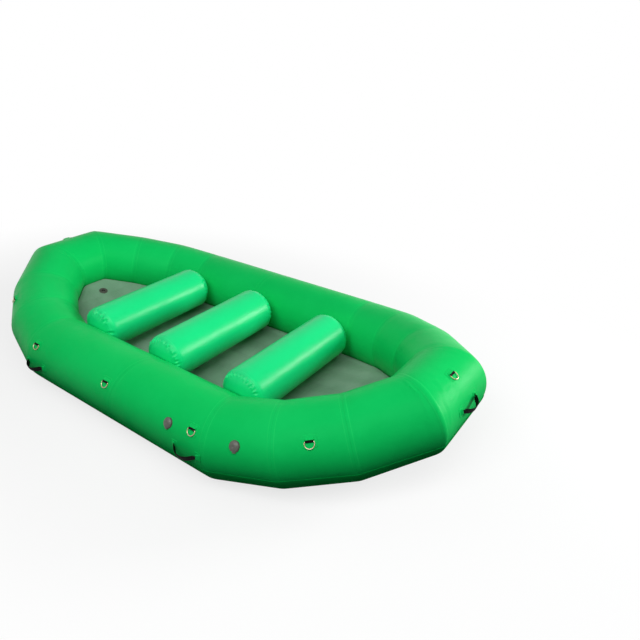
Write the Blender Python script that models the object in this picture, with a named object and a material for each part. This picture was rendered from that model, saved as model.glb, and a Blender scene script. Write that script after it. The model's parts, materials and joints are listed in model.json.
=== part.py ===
"""Whitewater raft, self bailing, about 4.3 m long, in metres with +Z up.

The hull is a ring of mitred fabric tubes that kicks up at both ends. Three
inflated thwarts and an inflated floor lie inside it. The bow is at +X, port
at +Y, and the origin is on the ground under the middle of the raft.
"""
import math

import bmesh
import bpy
from mathutils import Matrix, Vector

# Hull tubes
BEAM = 2.13
STRAIGHT_LENGTH = 1.83
TUBE_RADIUS = 0.254
TUBE_SIDES = 36
FABRIC = 0.0012
END_PANELS = 3
END_WIDTH = 0.414
END_TURN = 16.0
KICK_START = 8.5
KICK_STEP = 2.2
GAP = 0.0003

# Baffles between the four air chambers
BAFFLE_SETBACK = 0.07
BAFFLE_DEPTH = 0.06

# Chafer strips under the tubes
CHAFER_THICKNESS = 0.002
CHAFER_FIRST_FACET = -90.0
CHAFER_LAST_FACET = -20.0

# Thwarts
THWART_SETBACK = 0.14
THWART_RADIUS = 0.178
THWART_SIDES = 20
THWART_RISE = 0.092
THWART_SQUEEZE = 0.026
THWART_SEAT = 0.0006
CAP_DEPTH = 0.088
CAP_SHOULDER_DEPTH = 0.046
CAP_SHOULDER_RADIUS = 0.154
CAP_CROWN_DEPTH = 0.075
CAP_CROWN_RADIUS = 0.098

# Floor
FLOOR_DROP = 0.137
FLOOR_THICKNESS = 0.10
FLOOR_SKIN = 0.0015
FLOOR_EDGE_CLEARANCE = 0.006
FLOOR_BULGE = 0.025
FLANGE_THICKNESS = 0.0015
FLANGE_FACET = -110.0
DRAIN_RADIUS = 0.025
DRAIN_SIDES = 6
DRAIN_PITCH = 0.38
DRAIN_INSET = 0.155

# D-rings, with the patches and webbing bonded to the tubes
DRING_ANGLE = 38.0
DRING_END_ANGLE = 60.0
DRING_SETBACK = 0.075
DRING_WIRE = 0.003
DRING_HALF_WIDTH = 0.029
DRING_ARM = 0.010
DRING_CORNER = 0.005
WEBBING = 0.0018
WEBBING_WIDTH = 0.0455
WEBBING_TAIL = 0.024
WIRE_CLEARANCE = 0.0007
PATCH = 0.002
EMBED = 0.0006
DRING_PATCH_LENGTH = 0.094
DRING_PATCH_REACH = 8.5
PATCH_CORNER = 0.018

# Carry handles
HANDLE_SETBACK = 0.098
HANDLE_ANGLE = 5.0
HANDLE_END_ANGLE = 14.0
HANDLE_HALF_SPAN = 0.090
HANDLE_DEPTH = 0.046
HANDLE_DROOP = 18.0
HANDLE_STRAP = 0.0026
HANDLE_MIDDLE_WIDTH = 0.038
HANDLE_END_WIDTH = 0.020
HANDLE_STANDOFF = 0.009
HANDLE_STEPS = 10
KEEPER_LENGTH = 0.020
KEEPER_WIDTH = 0.022
KEEPER_HEIGHT = 0.0145
HANDLE_PATCH_LENGTH = 0.056
HANDLE_PATCH_REACH = 7.0

# Valves
VALVE_SIDES = 10
VALVE_SETBACK = 0.272
VALVE_ANGLE = 30.0
VALVE_SEAT = 0.0007
VALVE_RADIUS = 0.032
VALVE_FLANGE = 0.004
VALVE_NECK = 0.022
VALVE_CLAMP_RADIUS = 0.027
VALVE_CLAMP_DEPTH = 0.0030
VALVE_CLAMP_HEIGHT = 0.006
VALVE_LENGTH = 0.024
VALVE_TAIL = 0.019
VALVE_BORE = 0.016
VALVE_HOLE_CLEARANCE = 0.0006
VALVE_WEB_DEPTH = 0.014
VALVE_WEB = 0.003
VALVE_ORIFICE = 0.009
PLUNGER_SIDES = 8
PLUNGER_STEM = 0.003
PLUNGER_BUTTON = 0.0135
PLUNGER_BUTTON_DEPTH = 0.001
PLUNGER_DISC = 0.0148
PLUNGER_DISC_THICKNESS = 0.0025
SPRING_RADIUS = 0.0113
SPRING_WIRE = 0.0007
SPRING_TURNS = 2.5
SPRING_STEPS = 8
CAP_HEIGHT = 0.0145
CAP_RIM = 0.003
CAP_TAB_WIDTH = 0.016
CAP_TAB_THICKNESS = 0.0024
CAP_HINGE_REACH = 0.0370
CAP_SIDES = 16
THWART_VALVE_OFFSET = 0.35

# Relief valve at the stern end of the floor
RELIEF_RADIUS = 0.038
RELIEF_INSET = 0.045
RELIEF_DISC = 0.0135
RELIEF_COLLAR = 0.0125
RELIEF_COLLAR_DEPTH = 0.0270

FACET = 360.0 / TUBE_SIDES
CORNER_SCALE = 1.0 / math.cos(math.radians(FACET / 2))
TUBE_HEIGHT = TUBE_RADIUS + GAP + CHAFER_THICKNESS
TUBE_AXIS = BEAM / 2 - TUBE_RADIUS
HEADINGS = [math.radians(END_TURN * (step + 1)) for step in range(END_PANELS)]
END_PANEL_LENGTH = (TUBE_AXIS - END_WIDTH / 2) / sum(math.sin(turn) for turn in HEADINGS)


def material(name, colour, roughness, metallic=0.0):
    """A Principled material with one colour."""
    made = bpy.data.materials.new(name)
    made.use_nodes = True
    shader = made.node_tree.nodes["Principled BSDF"]
    shader.inputs["Base Color"].default_value = (*colour, 1.0)
    shader.inputs["Roughness"].default_value = roughness
    shader.inputs["Metallic"].default_value = metallic
    return made


GREEN = (0.02, 0.55, 0.13)
BRIGHT_GREEN = (0.03, 0.62, 0.20)
DARK_GREEN = (0.01, 0.30, 0.08)
GREY_GREEN = (0.30, 0.42, 0.34)
BLACK = (0.01, 0.01, 0.01)
STEEL = (0.60, 0.58, 0.50)
GREY = (0.16, 0.14, 0.13)


def polar(radius, degrees):
    """Out and up offsets of a point at an angle about a tube."""
    angle = math.radians(degrees)
    return (radius * math.cos(angle), radius * math.sin(angle))


class Panel:
    """One straight length of tube, cut by a plane at each end.

    Along runs down the tube, out points level to its outer side and up
    completes the set, so an angle of 0 faces outward and 90 faces up.
    """

    def __init__(self, start, end, cut_start, cut_end):
        self.start = start
        self.end = end
        self.along = (end - start).normalized()
        self.out = self.along.cross(Vector((0.0, 0.0, 1.0))).normalized()
        self.up = self.out.cross(self.along)
        self.cuts = ((start, cut_start), (end, cut_end))
        self.length = (end - start).length

    def at(self, offset, out_up):
        """A point at a distance from the panel's middle."""
        middle = self.start + self.along * (self.length / 2 + offset)
        return middle + self.out * out_up[0] + self.up * out_up[1]

    def square(self, offset, profile):
        """A profile cut square to the tube."""
        return [self.at(offset, corner) for corner in profile]

    def mitre(self, side, profile, back=GAP / 2):
        """A profile cut by the plane at one end, held back a little."""
        origin, normal = self.cuts[side]
        inward = self.along * (back if side == 0 else -back)
        ring = []
        for corner in profile:
            point = self.at(0.0, corner)
            slide = (origin - point).dot(normal) / self.along.dot(normal)
            ring.append(point + self.along * slide + inward)
        return ring

    def frame(self, offset, degrees, radius):
        """A frame on a facet: X along the tube, Y up its side, Z outward."""
        facing = Vector(polar(1.0, degrees))
        normal = self.out * facing.x + self.up * facing.y
        rise = self.up * facing.x - self.out * facing.y
        place = self.at(offset, polar(radius, degrees))
        axes = Matrix((self.along, rise, normal)).transposed()
        return Matrix.Translation(place) @ axes.to_4x4()


def hull_corners():
    """Corners of the hull's centreline, starboard bow quarter first."""
    place = Vector((STRAIGHT_LENGTH / 2, TUBE_AXIS, TUBE_HEIGHT))
    quarter = [place.copy()]
    for step, heading in enumerate(HEADINGS):
        pitch = math.radians(KICK_START + KICK_STEP * step)
        place.x += END_PANEL_LENGTH * math.cos(heading)
        place.y -= END_PANEL_LENGTH * math.sin(heading)
        place.z += END_PANEL_LENGTH * math.tan(pitch)
        quarter.append(place.copy())
    starboard = [Vector((p.x, -p.y, p.z)) for p in quarter]
    bow = starboard + quarter[::-1]
    stern = [Vector((-p.x, -p.y, p.z)) for p in bow]
    return bow + stern


def hull_panels(corners):
    """The panels between neighbouring corners, cut at their mitres."""
    count = len(corners)
    runs = [(corners[(i + 1) % count] - corners[i]).normalized() for i in range(count)]
    cuts = [(runs[i] + runs[i - 1]).normalized() for i in range(count)]
    return [
        Panel(corners[i], corners[(i + 1) % count], cuts[i], cuts[(i + 1) % count])
        for i in range(count)
    ]


CORNERS = hull_corners()
PANELS = hull_panels(CORNERS)
PORT_PANEL = 2 * END_PANELS + 1
STARBOARD_PANEL = 2 * PORT_PANEL + 1
BOW_MIDDLE = END_PANELS
STERN_MIDDLE = PORT_PANEL + 1 + END_PANELS
SIDES = (("starboard", STARBOARD_PANEL), ("port", PORT_PANEL))


def corner_ring(index, profile):
    """A profile laid on the mitre plane at a corner of the hull.

    The side panels stay straight, and elsewhere the ring lies halfway
    between where its two panels would put it."""
    index %= len(CORNERS)
    before = PANELS[index - 1].mitre(1, profile)
    after = PANELS[index].mitre(0, profile)
    share = 0.5
    if index in (0, STERN_MIDDLE - END_PANELS):
        share = 0.0
    if index in (PORT_PANEL, STARBOARD_PANEL):
        share = 1.0
    return [a.lerp(b, share) for a, b in zip(before, after)]


def moved(ring, step):
    """A ring carried along a vector."""
    return [point + step for point in ring]


def strip(mesh, first, second, gap=0):
    """Triangles between two rings of vertices, all split the same way. A
    gap of one leaves out the last side."""
    count = max(len(first), len(second))
    for i in range(count - gap):
        j = (i + 1) % count
        if len(first) > 1:
            mesh.faces.new((first[i], first[j], second[j % len(second)]))
        if len(second) > 1:
            mesh.faces.new((first[i % len(first)], second[j], second[i]))


def loft(mesh, rings, closed=False):
    """A solid through rings of points. Closed joins the last to the first,
    and otherwise the ends are capped. A ring of one point is a pole."""
    verts = [[mesh.verts.new(point) for point in ring] for ring in rings]
    for first, second in zip(verts, verts[1:]):
        strip(mesh, first, second)
    if closed:
        strip(mesh, verts[-1], verts[0])
        return
    for ring in (verts[0], verts[-1]):
        if len(ring) > 2:
            mesh.faces.new(ring)


def girdle(name, inner, outer, look):
    """A thin sheet round the whole hull, split alike on both its faces."""
    mesh = bmesh.new()
    faces = []
    for profile in (inner, outer):
        rings = [corner_ring(index, profile) for index in range(len(CORNERS))]
        faces.append([[mesh.verts.new(point) for point in ring] for ring in rings])
    under, over = faces
    for here in range(len(CORNERS)):
        after = (here + 1) % len(CORNERS)
        for rings in faces:
            strip(mesh, rings[here], rings[after], 1)
        for edge in (0, -1):
            mesh.faces.new(
                (under[here][edge], under[after][edge], over[after][edge], over[here][edge])
            )
    return finish(name, mesh, look)


def finish(name, mesh, look, frame=None):
    """Turns a bmesh into a named object with outward faces."""
    bmesh.ops.recalc_face_normals(mesh, faces=mesh.faces)
    data = bpy.data.meshes.new(name)
    mesh.to_mesh(data)
    mesh.free()
    data.shade_smooth()
    data.set_sharp_from_angle(angle=math.radians(30))
    data.materials.append(look)
    made = bpy.data.objects.new(name, data)
    bpy.context.collection.objects.link(made)
    if frame is not None:
        made.matrix_world = frame
    return made


def combine(target, name, mesh, operation):
    """Cuts a hidden shape out of an object, or joins it on."""
    tool = finish(name, mesh, target.data.materials[0])
    tool.hide_render = True
    tool.display_type = "WIRE"
    step = target.modifiers.new(name, "BOOLEAN")
    step.operation = operation
    step.object = tool


def circle(radius, sides, turn=0.0):
    """Corners of a polygon, as out and up offsets."""
    return [polar(radius, turn + 360.0 * i / sides) for i in range(sides)]


def section(apothem, sides=TUBE_SIDES):
    """A tube's faceted section, with a flat at the bottom and the top."""
    half = 180.0 / sides
    return circle(apothem / math.cos(math.radians(half)), sides, half)


def turned(mesh, frame, profile, sides, closed=False):
    """A profile of radius and height turned about a frame's Z."""
    rings = []
    for radius, height in profile:
        corners = circle(radius, sides) if radius > 0 else [(0.0, 0.0)]
        rings.append([frame @ Vector((x, y, height)) for x, y in corners])
    loft(mesh, rings, closed)


def strap(edges, inner, outer):
    """The section of a strip bent round a tube, through the given angles."""
    under = [polar(inner * CORNER_SCALE, edge) for edge in edges]
    over = [polar(outer * CORNER_SCALE, edge) for edge in edges]
    return under + over[::-1]


def block(mesh, frame, low, high):
    """A box between two corners in a frame."""
    corners = [(low[0], low[1]), (high[0], low[1]), (high[0], high[1]), (low[0], high[1])]
    loft(mesh, [[frame @ Vector((x, y, z)) for x, y in corners] for z in (low[2], high[2])])


# Hull

def build_side_tube(name, index, look):
    """A side chamber, closed by a domed baffle near each end."""
    panel = PANELS[index]
    outer, inner = section(TUBE_RADIUS), section(TUBE_RADIUS - FABRIC)
    hold = panel.along * (GAP / 2)
    mesh = bmesh.new()
    ends = (moved(corner_ring(index, outer), hold), moved(corner_ring(index + 1, outer), -hold))
    loft(mesh, ends)
    made = finish(name, mesh, look)
    hollow = bmesh.new()
    lip = panel.length / 2 - BAFFLE_SETBACK
    near, far = lip - FABRIC, lip - BAFFLE_DEPTH
    axis = (0.0, 0.0)
    loft(hollow, [
        [panel.at(FABRIC - far, axis)], panel.square(-near, inner),
        panel.square(near, inner), [panel.at(far - FABRIC, axis)],
    ])
    for side in (-1, 1):
        loft(hollow, [
            [panel.at(side * far, axis)], panel.square(side * lip, inner),
            panel.square(side * panel.length, inner),
        ])
    combine(made, name + "_hollow", hollow, "DIFFERENCE")
    return made


def build_end_tube(name, first, look):
    """The bow or stern chamber, bent at its mitres and kicked up."""
    last = first + PORT_PANEL
    mesh = bmesh.new()
    walls = []
    for apothem in (TUBE_RADIUS, TUBE_RADIUS - FABRIC):
        rings = [corner_ring(index, section(apothem)) for index in range(first, last + 1)]
        rings[0] = moved(rings[0], PANELS[first].along * (GAP / 2))
        rings[-1] = moved(rings[-1], PANELS[last - 1].along * (-GAP / 2))
        walls.append([[mesh.verts.new(point) for point in ring] for ring in rings])
    for wall in walls:
        for start, end in zip(wall, wall[1:]):
            strip(mesh, start, end)
    for end in (0, -1):
        strip(mesh, walls[0][end], walls[1][end])
    return finish(name, mesh, look)


def build_chafer(look):
    """A rub strip under the whole ring of tubes."""
    steps = round((CHAFER_LAST_FACET - CHAFER_FIRST_FACET) / FACET) + 2
    edges = [CHAFER_FIRST_FACET + FACET * (i - 0.5) for i in range(steps)]
    inner = [polar((TUBE_RADIUS + GAP) * CORNER_SCALE, edge) for edge in edges]
    radius = (TUBE_RADIUS + GAP + CHAFER_THICKNESS) * CORNER_SCALE
    girdle("bottom_chafer", inner, [polar(radius, edge) for edge in edges], look)


# Thwarts

THWART_HEIGHT = TUBE_HEIGHT + THWART_RISE
THWART_SPACING = STRAIGHT_LENGTH / 2 - THWART_SETBACK
THWART_STATIONS = (("forward", THWART_SPACING), ("middle", 0.0), ("aft", -THWART_SPACING))
CAP_PROFILE = (
    (THWART_RADIUS, 0.0),
    (CAP_SHOULDER_RADIUS, CAP_SHOULDER_DEPTH),
    (CAP_CROWN_RADIUS, CAP_CROWN_DEPTH),
    (0.0, CAP_DEPTH),
)


def beside(station):
    """The port panels that a thwart's end may meet, with the thwart's middle."""
    middle = Vector((station, 0.0, THWART_HEIGHT))
    return middle, [PANELS[index] for index in (PORT_PANEL - 1, PORT_PANEL, PORT_PANEL + 1)]


def side_limit(station, out, up):
    """How far to the side a thwart's cap may reach before it meets a tube."""
    middle, panels = beside(station)
    limit = BEAM
    for panel in panels:
        away = middle + Vector((out, 0.0, up)) - panel.start
        away -= panel.along * away.dot(panel.along)
        aim = Vector((0.0, 1.0, 0.0)) - panel.along * panel.along.y
        slope = away.dot(aim) / aim.dot(aim)
        room = away.dot(away) - (TUBE_RADIUS * CORNER_SCALE + GAP) ** 2
        inside = slope ** 2 - room / aim.dot(aim)
        if inside > 0:
            limit = min(limit, -slope - math.sqrt(inside))
    return limit


def cap_rings(station, skin):
    """Rings of a thwart's end, pressed in where it meets the hull.

    Each point is an out, a reach to the side and an up."""
    rim = side_limit(0.0, 0.0, 0.0) + THWART_SQUEEZE - CAP_DEPTH
    rings = []
    for radius, depth in CAP_PROFILE:
        corners = section(radius - skin, THWART_SIDES) if radius > 0 else [(0.0, 0.0)]
        ring = []
        for out, up in corners:
            reach = rim + depth if depth == 0 else rim + depth - skin
            ring.append((out, min(reach, side_limit(station, out, up) - skin), up))
        rings.append(ring)
    return rings


def tube_clearance(station, point):
    """How far a point lies outside the faceted sections of the hull."""
    middle, panels = beside(station)
    least = BEAM
    for panel in panels:
        away = middle + Vector((point[0], point[1], point[2])) - panel.start
        out, up = away.dot(panel.out), away.dot(panel.up)
        turn = math.degrees(math.atan2(up, out)) / FACET
        lean = math.radians((turn - round(turn)) * FACET)
        least = min(least, math.hypot(out, up) * math.cos(lean) - TUBE_RADIUS)
    return least


def thwart_draw(station):
    """How far to draw a thwart's ends in so that they only touch the hull."""
    rings = cap_rings(station, 0.0)
    least = THWART_SEAT
    for first, second in zip(rings, rings[1:]):
        for i, start in enumerate(first):
            j = (i + 1) % len(first)
            for end in (first[j], second[i % len(second)], second[j % len(second)]):
                for step in range(5):
                    point = Vector(start).lerp(Vector(end), step / 4)
                    least = min(least, tube_clearance(station, point))
    return (THWART_SEAT - least) / math.sqrt(1 - (THWART_RISE / TUBE_RADIUS) ** 2)


def thwart_rings(station, draw, skin):
    """Rings of a whole thwart, from its starboard pole to its port one."""
    halves = []
    for side in (-1, 1):
        half = []
        for ring in cap_rings(station, skin):
            points = [(station + out, side * (reach - draw), THWART_HEIGHT + up)
                      for out, reach, up in ring]
            half.append([Vector(point) for point in points])
        halves.append(half)
    return halves[0][::-1] + halves[1]


def thwart_frame(station):
    """A valve's frame on the side of a thwart that faces the stern."""
    place = Vector((station - THWART_RADIUS, -THWART_VALVE_OFFSET, THWART_HEIGHT))
    axes = Matrix(((0.0, -1.0, 0.0), (0.0, 0.0, 1.0), (-1.0, 0.0, 0.0))).transposed()
    return Matrix.Translation(place) @ axes.to_4x4()


def build_thwart(name, station, look):
    """One thwart, a closed chamber with pressed ends."""
    draw = thwart_draw(station)
    mesh = bmesh.new()
    loft(mesh, thwart_rings(station, draw, 0.0))
    made = finish(name, mesh, look)
    hollow = bmesh.new()
    loft(hollow, thwart_rings(station, draw, FABRIC))
    combine(made, name + "_hollow", hollow, "DIFFERENCE")
    return made


# Floor

FLANGE_TOP = FLOOR_DROP + FLOOR_THICKNESS + 2 * GAP
FLOOR_INSET = (
    math.sqrt((TUBE_RADIUS * CORNER_SCALE) ** 2 - FLOOR_DROP ** 2) + FLOOR_EDGE_CLEARANCE
)


def floor_slab(skin):
    """The floor's solid, drawn in all round by a skin's thickness."""
    mesh = bmesh.new()
    inset, top, bottom = FLOOR_INSET + skin, FLOOR_DROP + skin, FLOOR_DROP + FLOOR_THICKNESS - skin
    profile = (
        (-inset, -top),
        (FLOOR_BULGE - inset, -(top + bottom) / 2),
        (-inset, -bottom),
    )
    corners = [corner_ring(index, profile) for index in range(len(CORNERS))]
    rims = [[mesh.verts.new(corner[level]) for corner in corners] for level in range(3)]
    strip(mesh, rims[0], rims[1])
    strip(mesh, rims[1], rims[2])
    for rim in (rims[0], rims[2]):
        for step in range(PORT_PANEL):
            near, far = BOW_MIDDLE - step, BOW_MIDDLE + 1 + step
            mesh.faces.new((rim[near], rim[far], rim[far + 1], rim[near - 1]))
    return mesh


def build_floor(look):
    """The inflated floor, which follows the kick of the hull."""
    made = finish("inflatable_floor", floor_slab(0.0), look)
    combine(made, "floor_hollow", floor_slab(FLOOR_SKIN), "DIFFERENCE")
    return made


def flange_profile(off):
    """A bent line from the floor's underside to the tube's underside."""
    radius = (TUBE_RADIUS + GAP + off) * CORNER_SCALE
    lap = [polar(radius, FLANGE_FACET - FACET / 2), polar(radius, FLANGE_FACET + FACET / 2)]
    inner = -FLOOR_INSET
    reaches = [inner + (lap[0][0] - inner) * share for share in (0.0, 0.4, 0.8)]
    return [(reach, -FLANGE_TOP - off) for reach in reaches] + lap


def build_flange(look):
    """The flange that hangs the floor from the tubes, with drain holes."""
    made = girdle("floor_flange", flange_profile(0.0), flange_profile(FLANGE_THICKNESS), look)
    drains = bmesh.new()
    for panel in PANELS:
        count = max(int(panel.length / DRAIN_PITCH), 1)
        for step in range(count):
            offset = (step - (count - 1) / 2) * DRAIN_PITCH
            frame = Matrix.Translation(panel.at(offset, (-DRAIN_INSET, -FLANGE_TOP)))
            ends = ((DRAIN_RADIUS, -DRAIN_RADIUS), (DRAIN_RADIUS, DRAIN_RADIUS))
            turned(drains, frame, ends, DRAIN_SIDES)
    combine(made, "drain_holes", drains, "DIFFERENCE")


# Fittings on the tubes

BAR_HEIGHT = PATCH - EMBED + WEBBING + WIRE_CLEARANCE + DRING_WIRE
DRING_REACH = DRING_ARM + DRING_HALF_WIDTH
DRING_LEAN = math.asin((BAR_HEIGHT - DRING_WIRE - PATCH - 3 * GAP) / DRING_REACH)


def chamber_of(index):
    """The name of the tube that a panel belongs to."""
    for side, panel in SIDES:
        if index == panel:
            return side + "_tube"
    return "bow_tube" if index < PORT_PANEL else "stern_tube"


def dring_stations():
    """Name, panel, distance along it and facing of every D-ring."""
    stations = []
    spacing = STRAIGHT_LENGTH / 2 - DRING_SETBACK
    for side, index in SIDES:
        ahead = 1 if index == STARBOARD_PANEL else -1
        for place, offset in (("fore", spacing), ("mid", 0.0), ("aft", -spacing)):
            stations.append((side + "_" + place, index, ahead * offset, DRING_ANGLE))
    for end, middle, step in (("bow", BOW_MIDDLE, 2), ("stern", STERN_MIDDLE, -2)):
        stations.append((end + "_starboard", middle - step, 0.0, DRING_ANGLE))
        stations.append((end, middle, 0.0, DRING_END_ANGLE))
        stations.append((end + "_port", middle + step, 0.0, DRING_ANGLE))
    return stations


def handle_stations():
    """Name, panel, distance along it and facing of every handle."""
    stations = []
    spacing = STRAIGHT_LENGTH / 2 - HANDLE_SETBACK
    for side, index in SIDES:
        ahead = 1 if index == STARBOARD_PANEL else -1
        for place, offset in (("fore", spacing), ("aft", -spacing)):
            stations.append((side + "_" + place, index, ahead * offset, HANDLE_ANGLE))
    stations.append(("bow", BOW_MIDDLE, 0.0, HANDLE_END_ANGLE))
    stations.append(("stern", STERN_MIDDLE, 0.0, HANDLE_END_ANGLE))
    return stations


def bent_patch(mesh, panel, offset, facing, length, reach):
    """A patch with clipped corners, bent round the tube and sunk in it."""
    rings = []
    flat = FACET / 2
    for step in (-length / 2, PATCH_CORNER - length / 2, length / 2 - PATCH_CORNER, length / 2):
        wide = reach if abs(step) < length / 2 else flat + (reach - flat) / 4
        edges = [facing - wide, facing - flat, facing + flat, facing + wide]
        profile = strap(edges, TUBE_RADIUS - EMBED, TUBE_RADIUS + PATCH)
        rings.append(panel.square(offset + step, profile))
    loft(mesh, rings)


def webbing_rings():
    """The folded webbing's outline round the bar, and the bar's hole."""
    radius = WIRE_CLEARANCE + DRING_WIRE
    base = -radius - WEBBING
    outline = [polar(radius + WEBBING, -90.0 - 36.0 * i) for i in range(6)]
    outline.append((WEBBING_TAIL / 2, 0.0))
    outline.append((WEBBING_TAIL, base + EMBED + 2 * WEBBING))
    outline.append((WEBBING_TAIL, base))
    hole = [polar(radius, -90.0 - 36.0 * i) for i in range(6)]
    hole += [polar(radius, angle) for angle in (50.0, 10.0, -40.0)]
    return outline, hole


def bond_fittings(tubes):
    """The D-rings' patches and webbing loops, bonded to the tubes."""
    patches = {name: bmesh.new() for name in tubes}
    loops = {name: bmesh.new() for name in tubes}
    outline, hole = webbing_rings()
    half = WEBBING_WIDTH / 2
    for _, index, offset, facing in dring_stations():
        panel = PANELS[index]
        tube = chamber_of(index)
        bent_patch(patches[tube], panel, offset, facing, DRING_PATCH_LENGTH, DRING_PATCH_REACH)
        bar = panel.frame(offset, facing, TUBE_RADIUS) @ Matrix.Translation(
            (0.0, 0.0, BAR_HEIGHT)
        )
        rings = []
        for x, profile in ((-half, outline), (half, outline), (half, hole), (-half, hole)):
            rings.append([bar @ Vector((x, y, z)) for y, z in profile])
        loft(loops[tube], rings, closed=True)
    for _, index, offset, facing in handle_stations():
        panel = PANELS[index]
        tube = chamber_of(index)
        frame = panel.frame(offset, facing, TUBE_RADIUS)
        for side in (-1, 1):
            middle = side * (HANDLE_HALF_SPAN + GAP + KEEPER_LENGTH / 2)
            bent_patch(
                patches[tube], panel, offset + middle, facing,
                HANDLE_PATCH_LENGTH, HANDLE_PATCH_REACH,
            )
            block(
                loops[tube], frame,
                (middle - KEEPER_LENGTH / 2, -KEEPER_WIDTH / 2, PATCH - EMBED),
                (middle + KEEPER_LENGTH / 2, KEEPER_WIDTH / 2, KEEPER_HEIGHT),
            )
    for name, tube in tubes.items():
        combine(tube, name + "_patches", patches[name], "UNION")
        combine(tube, name + "_webbing", loops[name], "UNION")


def build_dring(name, frame, look):
    """A welded ring of round wire that swings about its straight bar."""
    points = [(DRING_CORNER - DRING_HALF_WIDTH, 0.0), (DRING_HALF_WIDTH - DRING_CORNER, 0.0)]
    points.append((DRING_HALF_WIDTH, -DRING_CORNER))
    for step in range(7):
        x, y = polar(DRING_HALF_WIDTH, -30.0 * step)
        points.append((x, y - DRING_ARM))
    points.append((-DRING_HALF_WIDTH, -DRING_CORNER))
    curve = bpy.data.curves.new("dring_" + name, "CURVE")
    curve.dimensions = "3D"
    curve.bevel_depth = DRING_WIRE
    curve.bevel_resolution = 1
    curve.materials.append(look)
    spline = curve.splines.new("POLY")
    spline.points.add(len(points) - 1)
    for point, (x, y) in zip(spline.points, points):
        point.co = (x, y, 0.0, 1.0)
    spline.use_cyclic_u = True
    spline.use_smooth = True
    made = bpy.data.objects.new("dring_" + name, curve)
    bpy.context.collection.objects.link(made)
    hinge = frame @ Matrix.Translation((0.0, 0.0, BAR_HEIGHT))
    made.matrix_world = hinge @ Matrix.Rotation(DRING_LEAN, 4, "X")


def build_handle(name, frame, facing, look):
    """A drooping webbing loop that swings about the line through its ends."""
    mesh = bmesh.new()
    droop = math.radians(HANDLE_DROOP + facing)
    reach = Vector((0.0, -math.sin(droop), math.cos(droop)))
    width = Vector((0.0, math.cos(droop), math.sin(droop)))
    line = Vector((1.0, 0.0, 0.0))
    rings = []
    for step in range(HANDLE_STEPS + 1):
        share = 2 * step / HANDLE_STEPS - 1
        swell = max(1 - share ** 2, 0.0)
        place = line * (share * HANDLE_HALF_SPAN) + reach * (HANDLE_DEPTH * swell ** 1.5)
        slope = -3 * HANDLE_DEPTH * share * swell ** 0.5 / HANDLE_HALF_SPAN
        across = (reach - line * slope).normalized() * (HANDLE_STRAP / 2)
        spread = HANDLE_MIDDLE_WIDTH - HANDLE_END_WIDTH
        half = width * ((HANDLE_END_WIDTH + spread * swell ** 0.5) / 2)
        rings.append([place + across + half, place + across - half,
                      place - across - half, place - across + half])
    loft(mesh, rings)
    finish("handle_" + name, mesh, look, frame @ Matrix.Translation((0.0, 0.0, HANDLE_STANDOFF)))


# Valves

VALVE_TOP = VALVE_SEAT + VALVE_FLANGE


def relief_frame():
    """A frame near the foot of the floor's last slope at the stern."""
    edge = [(-FLOOR_INSET, -FLOOR_DROP)]
    high, low = (corner_ring(index, edge)[0] for index in (STERN_MIDDLE, STERN_MIDDLE - 1))
    high.y = low.y = 0.0
    along = (low - high).normalized()
    across = Vector((0.0, 1.0, 0.0))
    axes = Matrix((along, across, along.cross(across))).transposed()
    return Matrix.Translation(low - along * RELIEF_INSET) @ axes.to_4x4()


def valve_stations():
    """Name, frame on the outer skin, and name of the skin for each valve."""
    stations = []
    spacing = STRAIGHT_LENGTH / 2 - VALVE_SETBACK
    for name, index, offset in (
        ("starboard", STARBOARD_PANEL, spacing),
        ("bow", 0, 0.0),
        ("port", PORT_PANEL, spacing),
        ("stern", PORT_PANEL + 1, 0.0),
    ):
        frame = PANELS[index].frame(offset, VALVE_ANGLE, TUBE_RADIUS)
        stations.append((name, frame, name + "_tube"))
    for name, station in THWART_STATIONS:
        stations.append((name + "_thwart", thwart_frame(station), name + "_thwart"))
    return stations


def build_valve_body(name, frame, radius, look):
    """A flanged insert clamped through the skin, with a web in its bore."""
    web, clamp = -VALVE_WEB_DEPTH, -VALVE_CLAMP_DEPTH
    profile = (
        (VALVE_ORIFICE, web),
        (VALVE_BORE, web),
        (VALVE_BORE, VALVE_TOP),
        (radius, VALVE_TOP),
        (radius, VALVE_SEAT),
        (VALVE_NECK, VALVE_SEAT),
        (VALVE_NECK, clamp),
        (VALVE_CLAMP_RADIUS, clamp),
        (VALVE_CLAMP_RADIUS, clamp - VALVE_CLAMP_HEIGHT),
        (VALVE_TAIL, -VALVE_LENGTH),
        (VALVE_BORE, -VALVE_LENGTH),
        (VALVE_BORE, web - VALVE_WEB),
        (VALVE_ORIFICE, web - VALVE_WEB),
    )
    mesh = bmesh.new()
    turned(mesh, Matrix.Identity(4), profile, VALVE_SIDES, closed=True)
    finish(name, mesh, look, frame)


def build_poppet(name, frame, discs, look):
    """A stem with a disc at each end. Each disc is a radius, a top and a
    bottom."""
    (first, top, under), (second, over, bottom) = discs
    profile = (
        (0.0, top), (first, top), (first, under), (PLUNGER_STEM, under),
        (PLUNGER_STEM, over), (second, over), (second, bottom), (0.0, bottom),
    )
    mesh = bmesh.new()
    turned(mesh, Matrix.Identity(4), profile, PLUNGER_SIDES)
    finish(name, mesh, look, frame)


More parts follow.
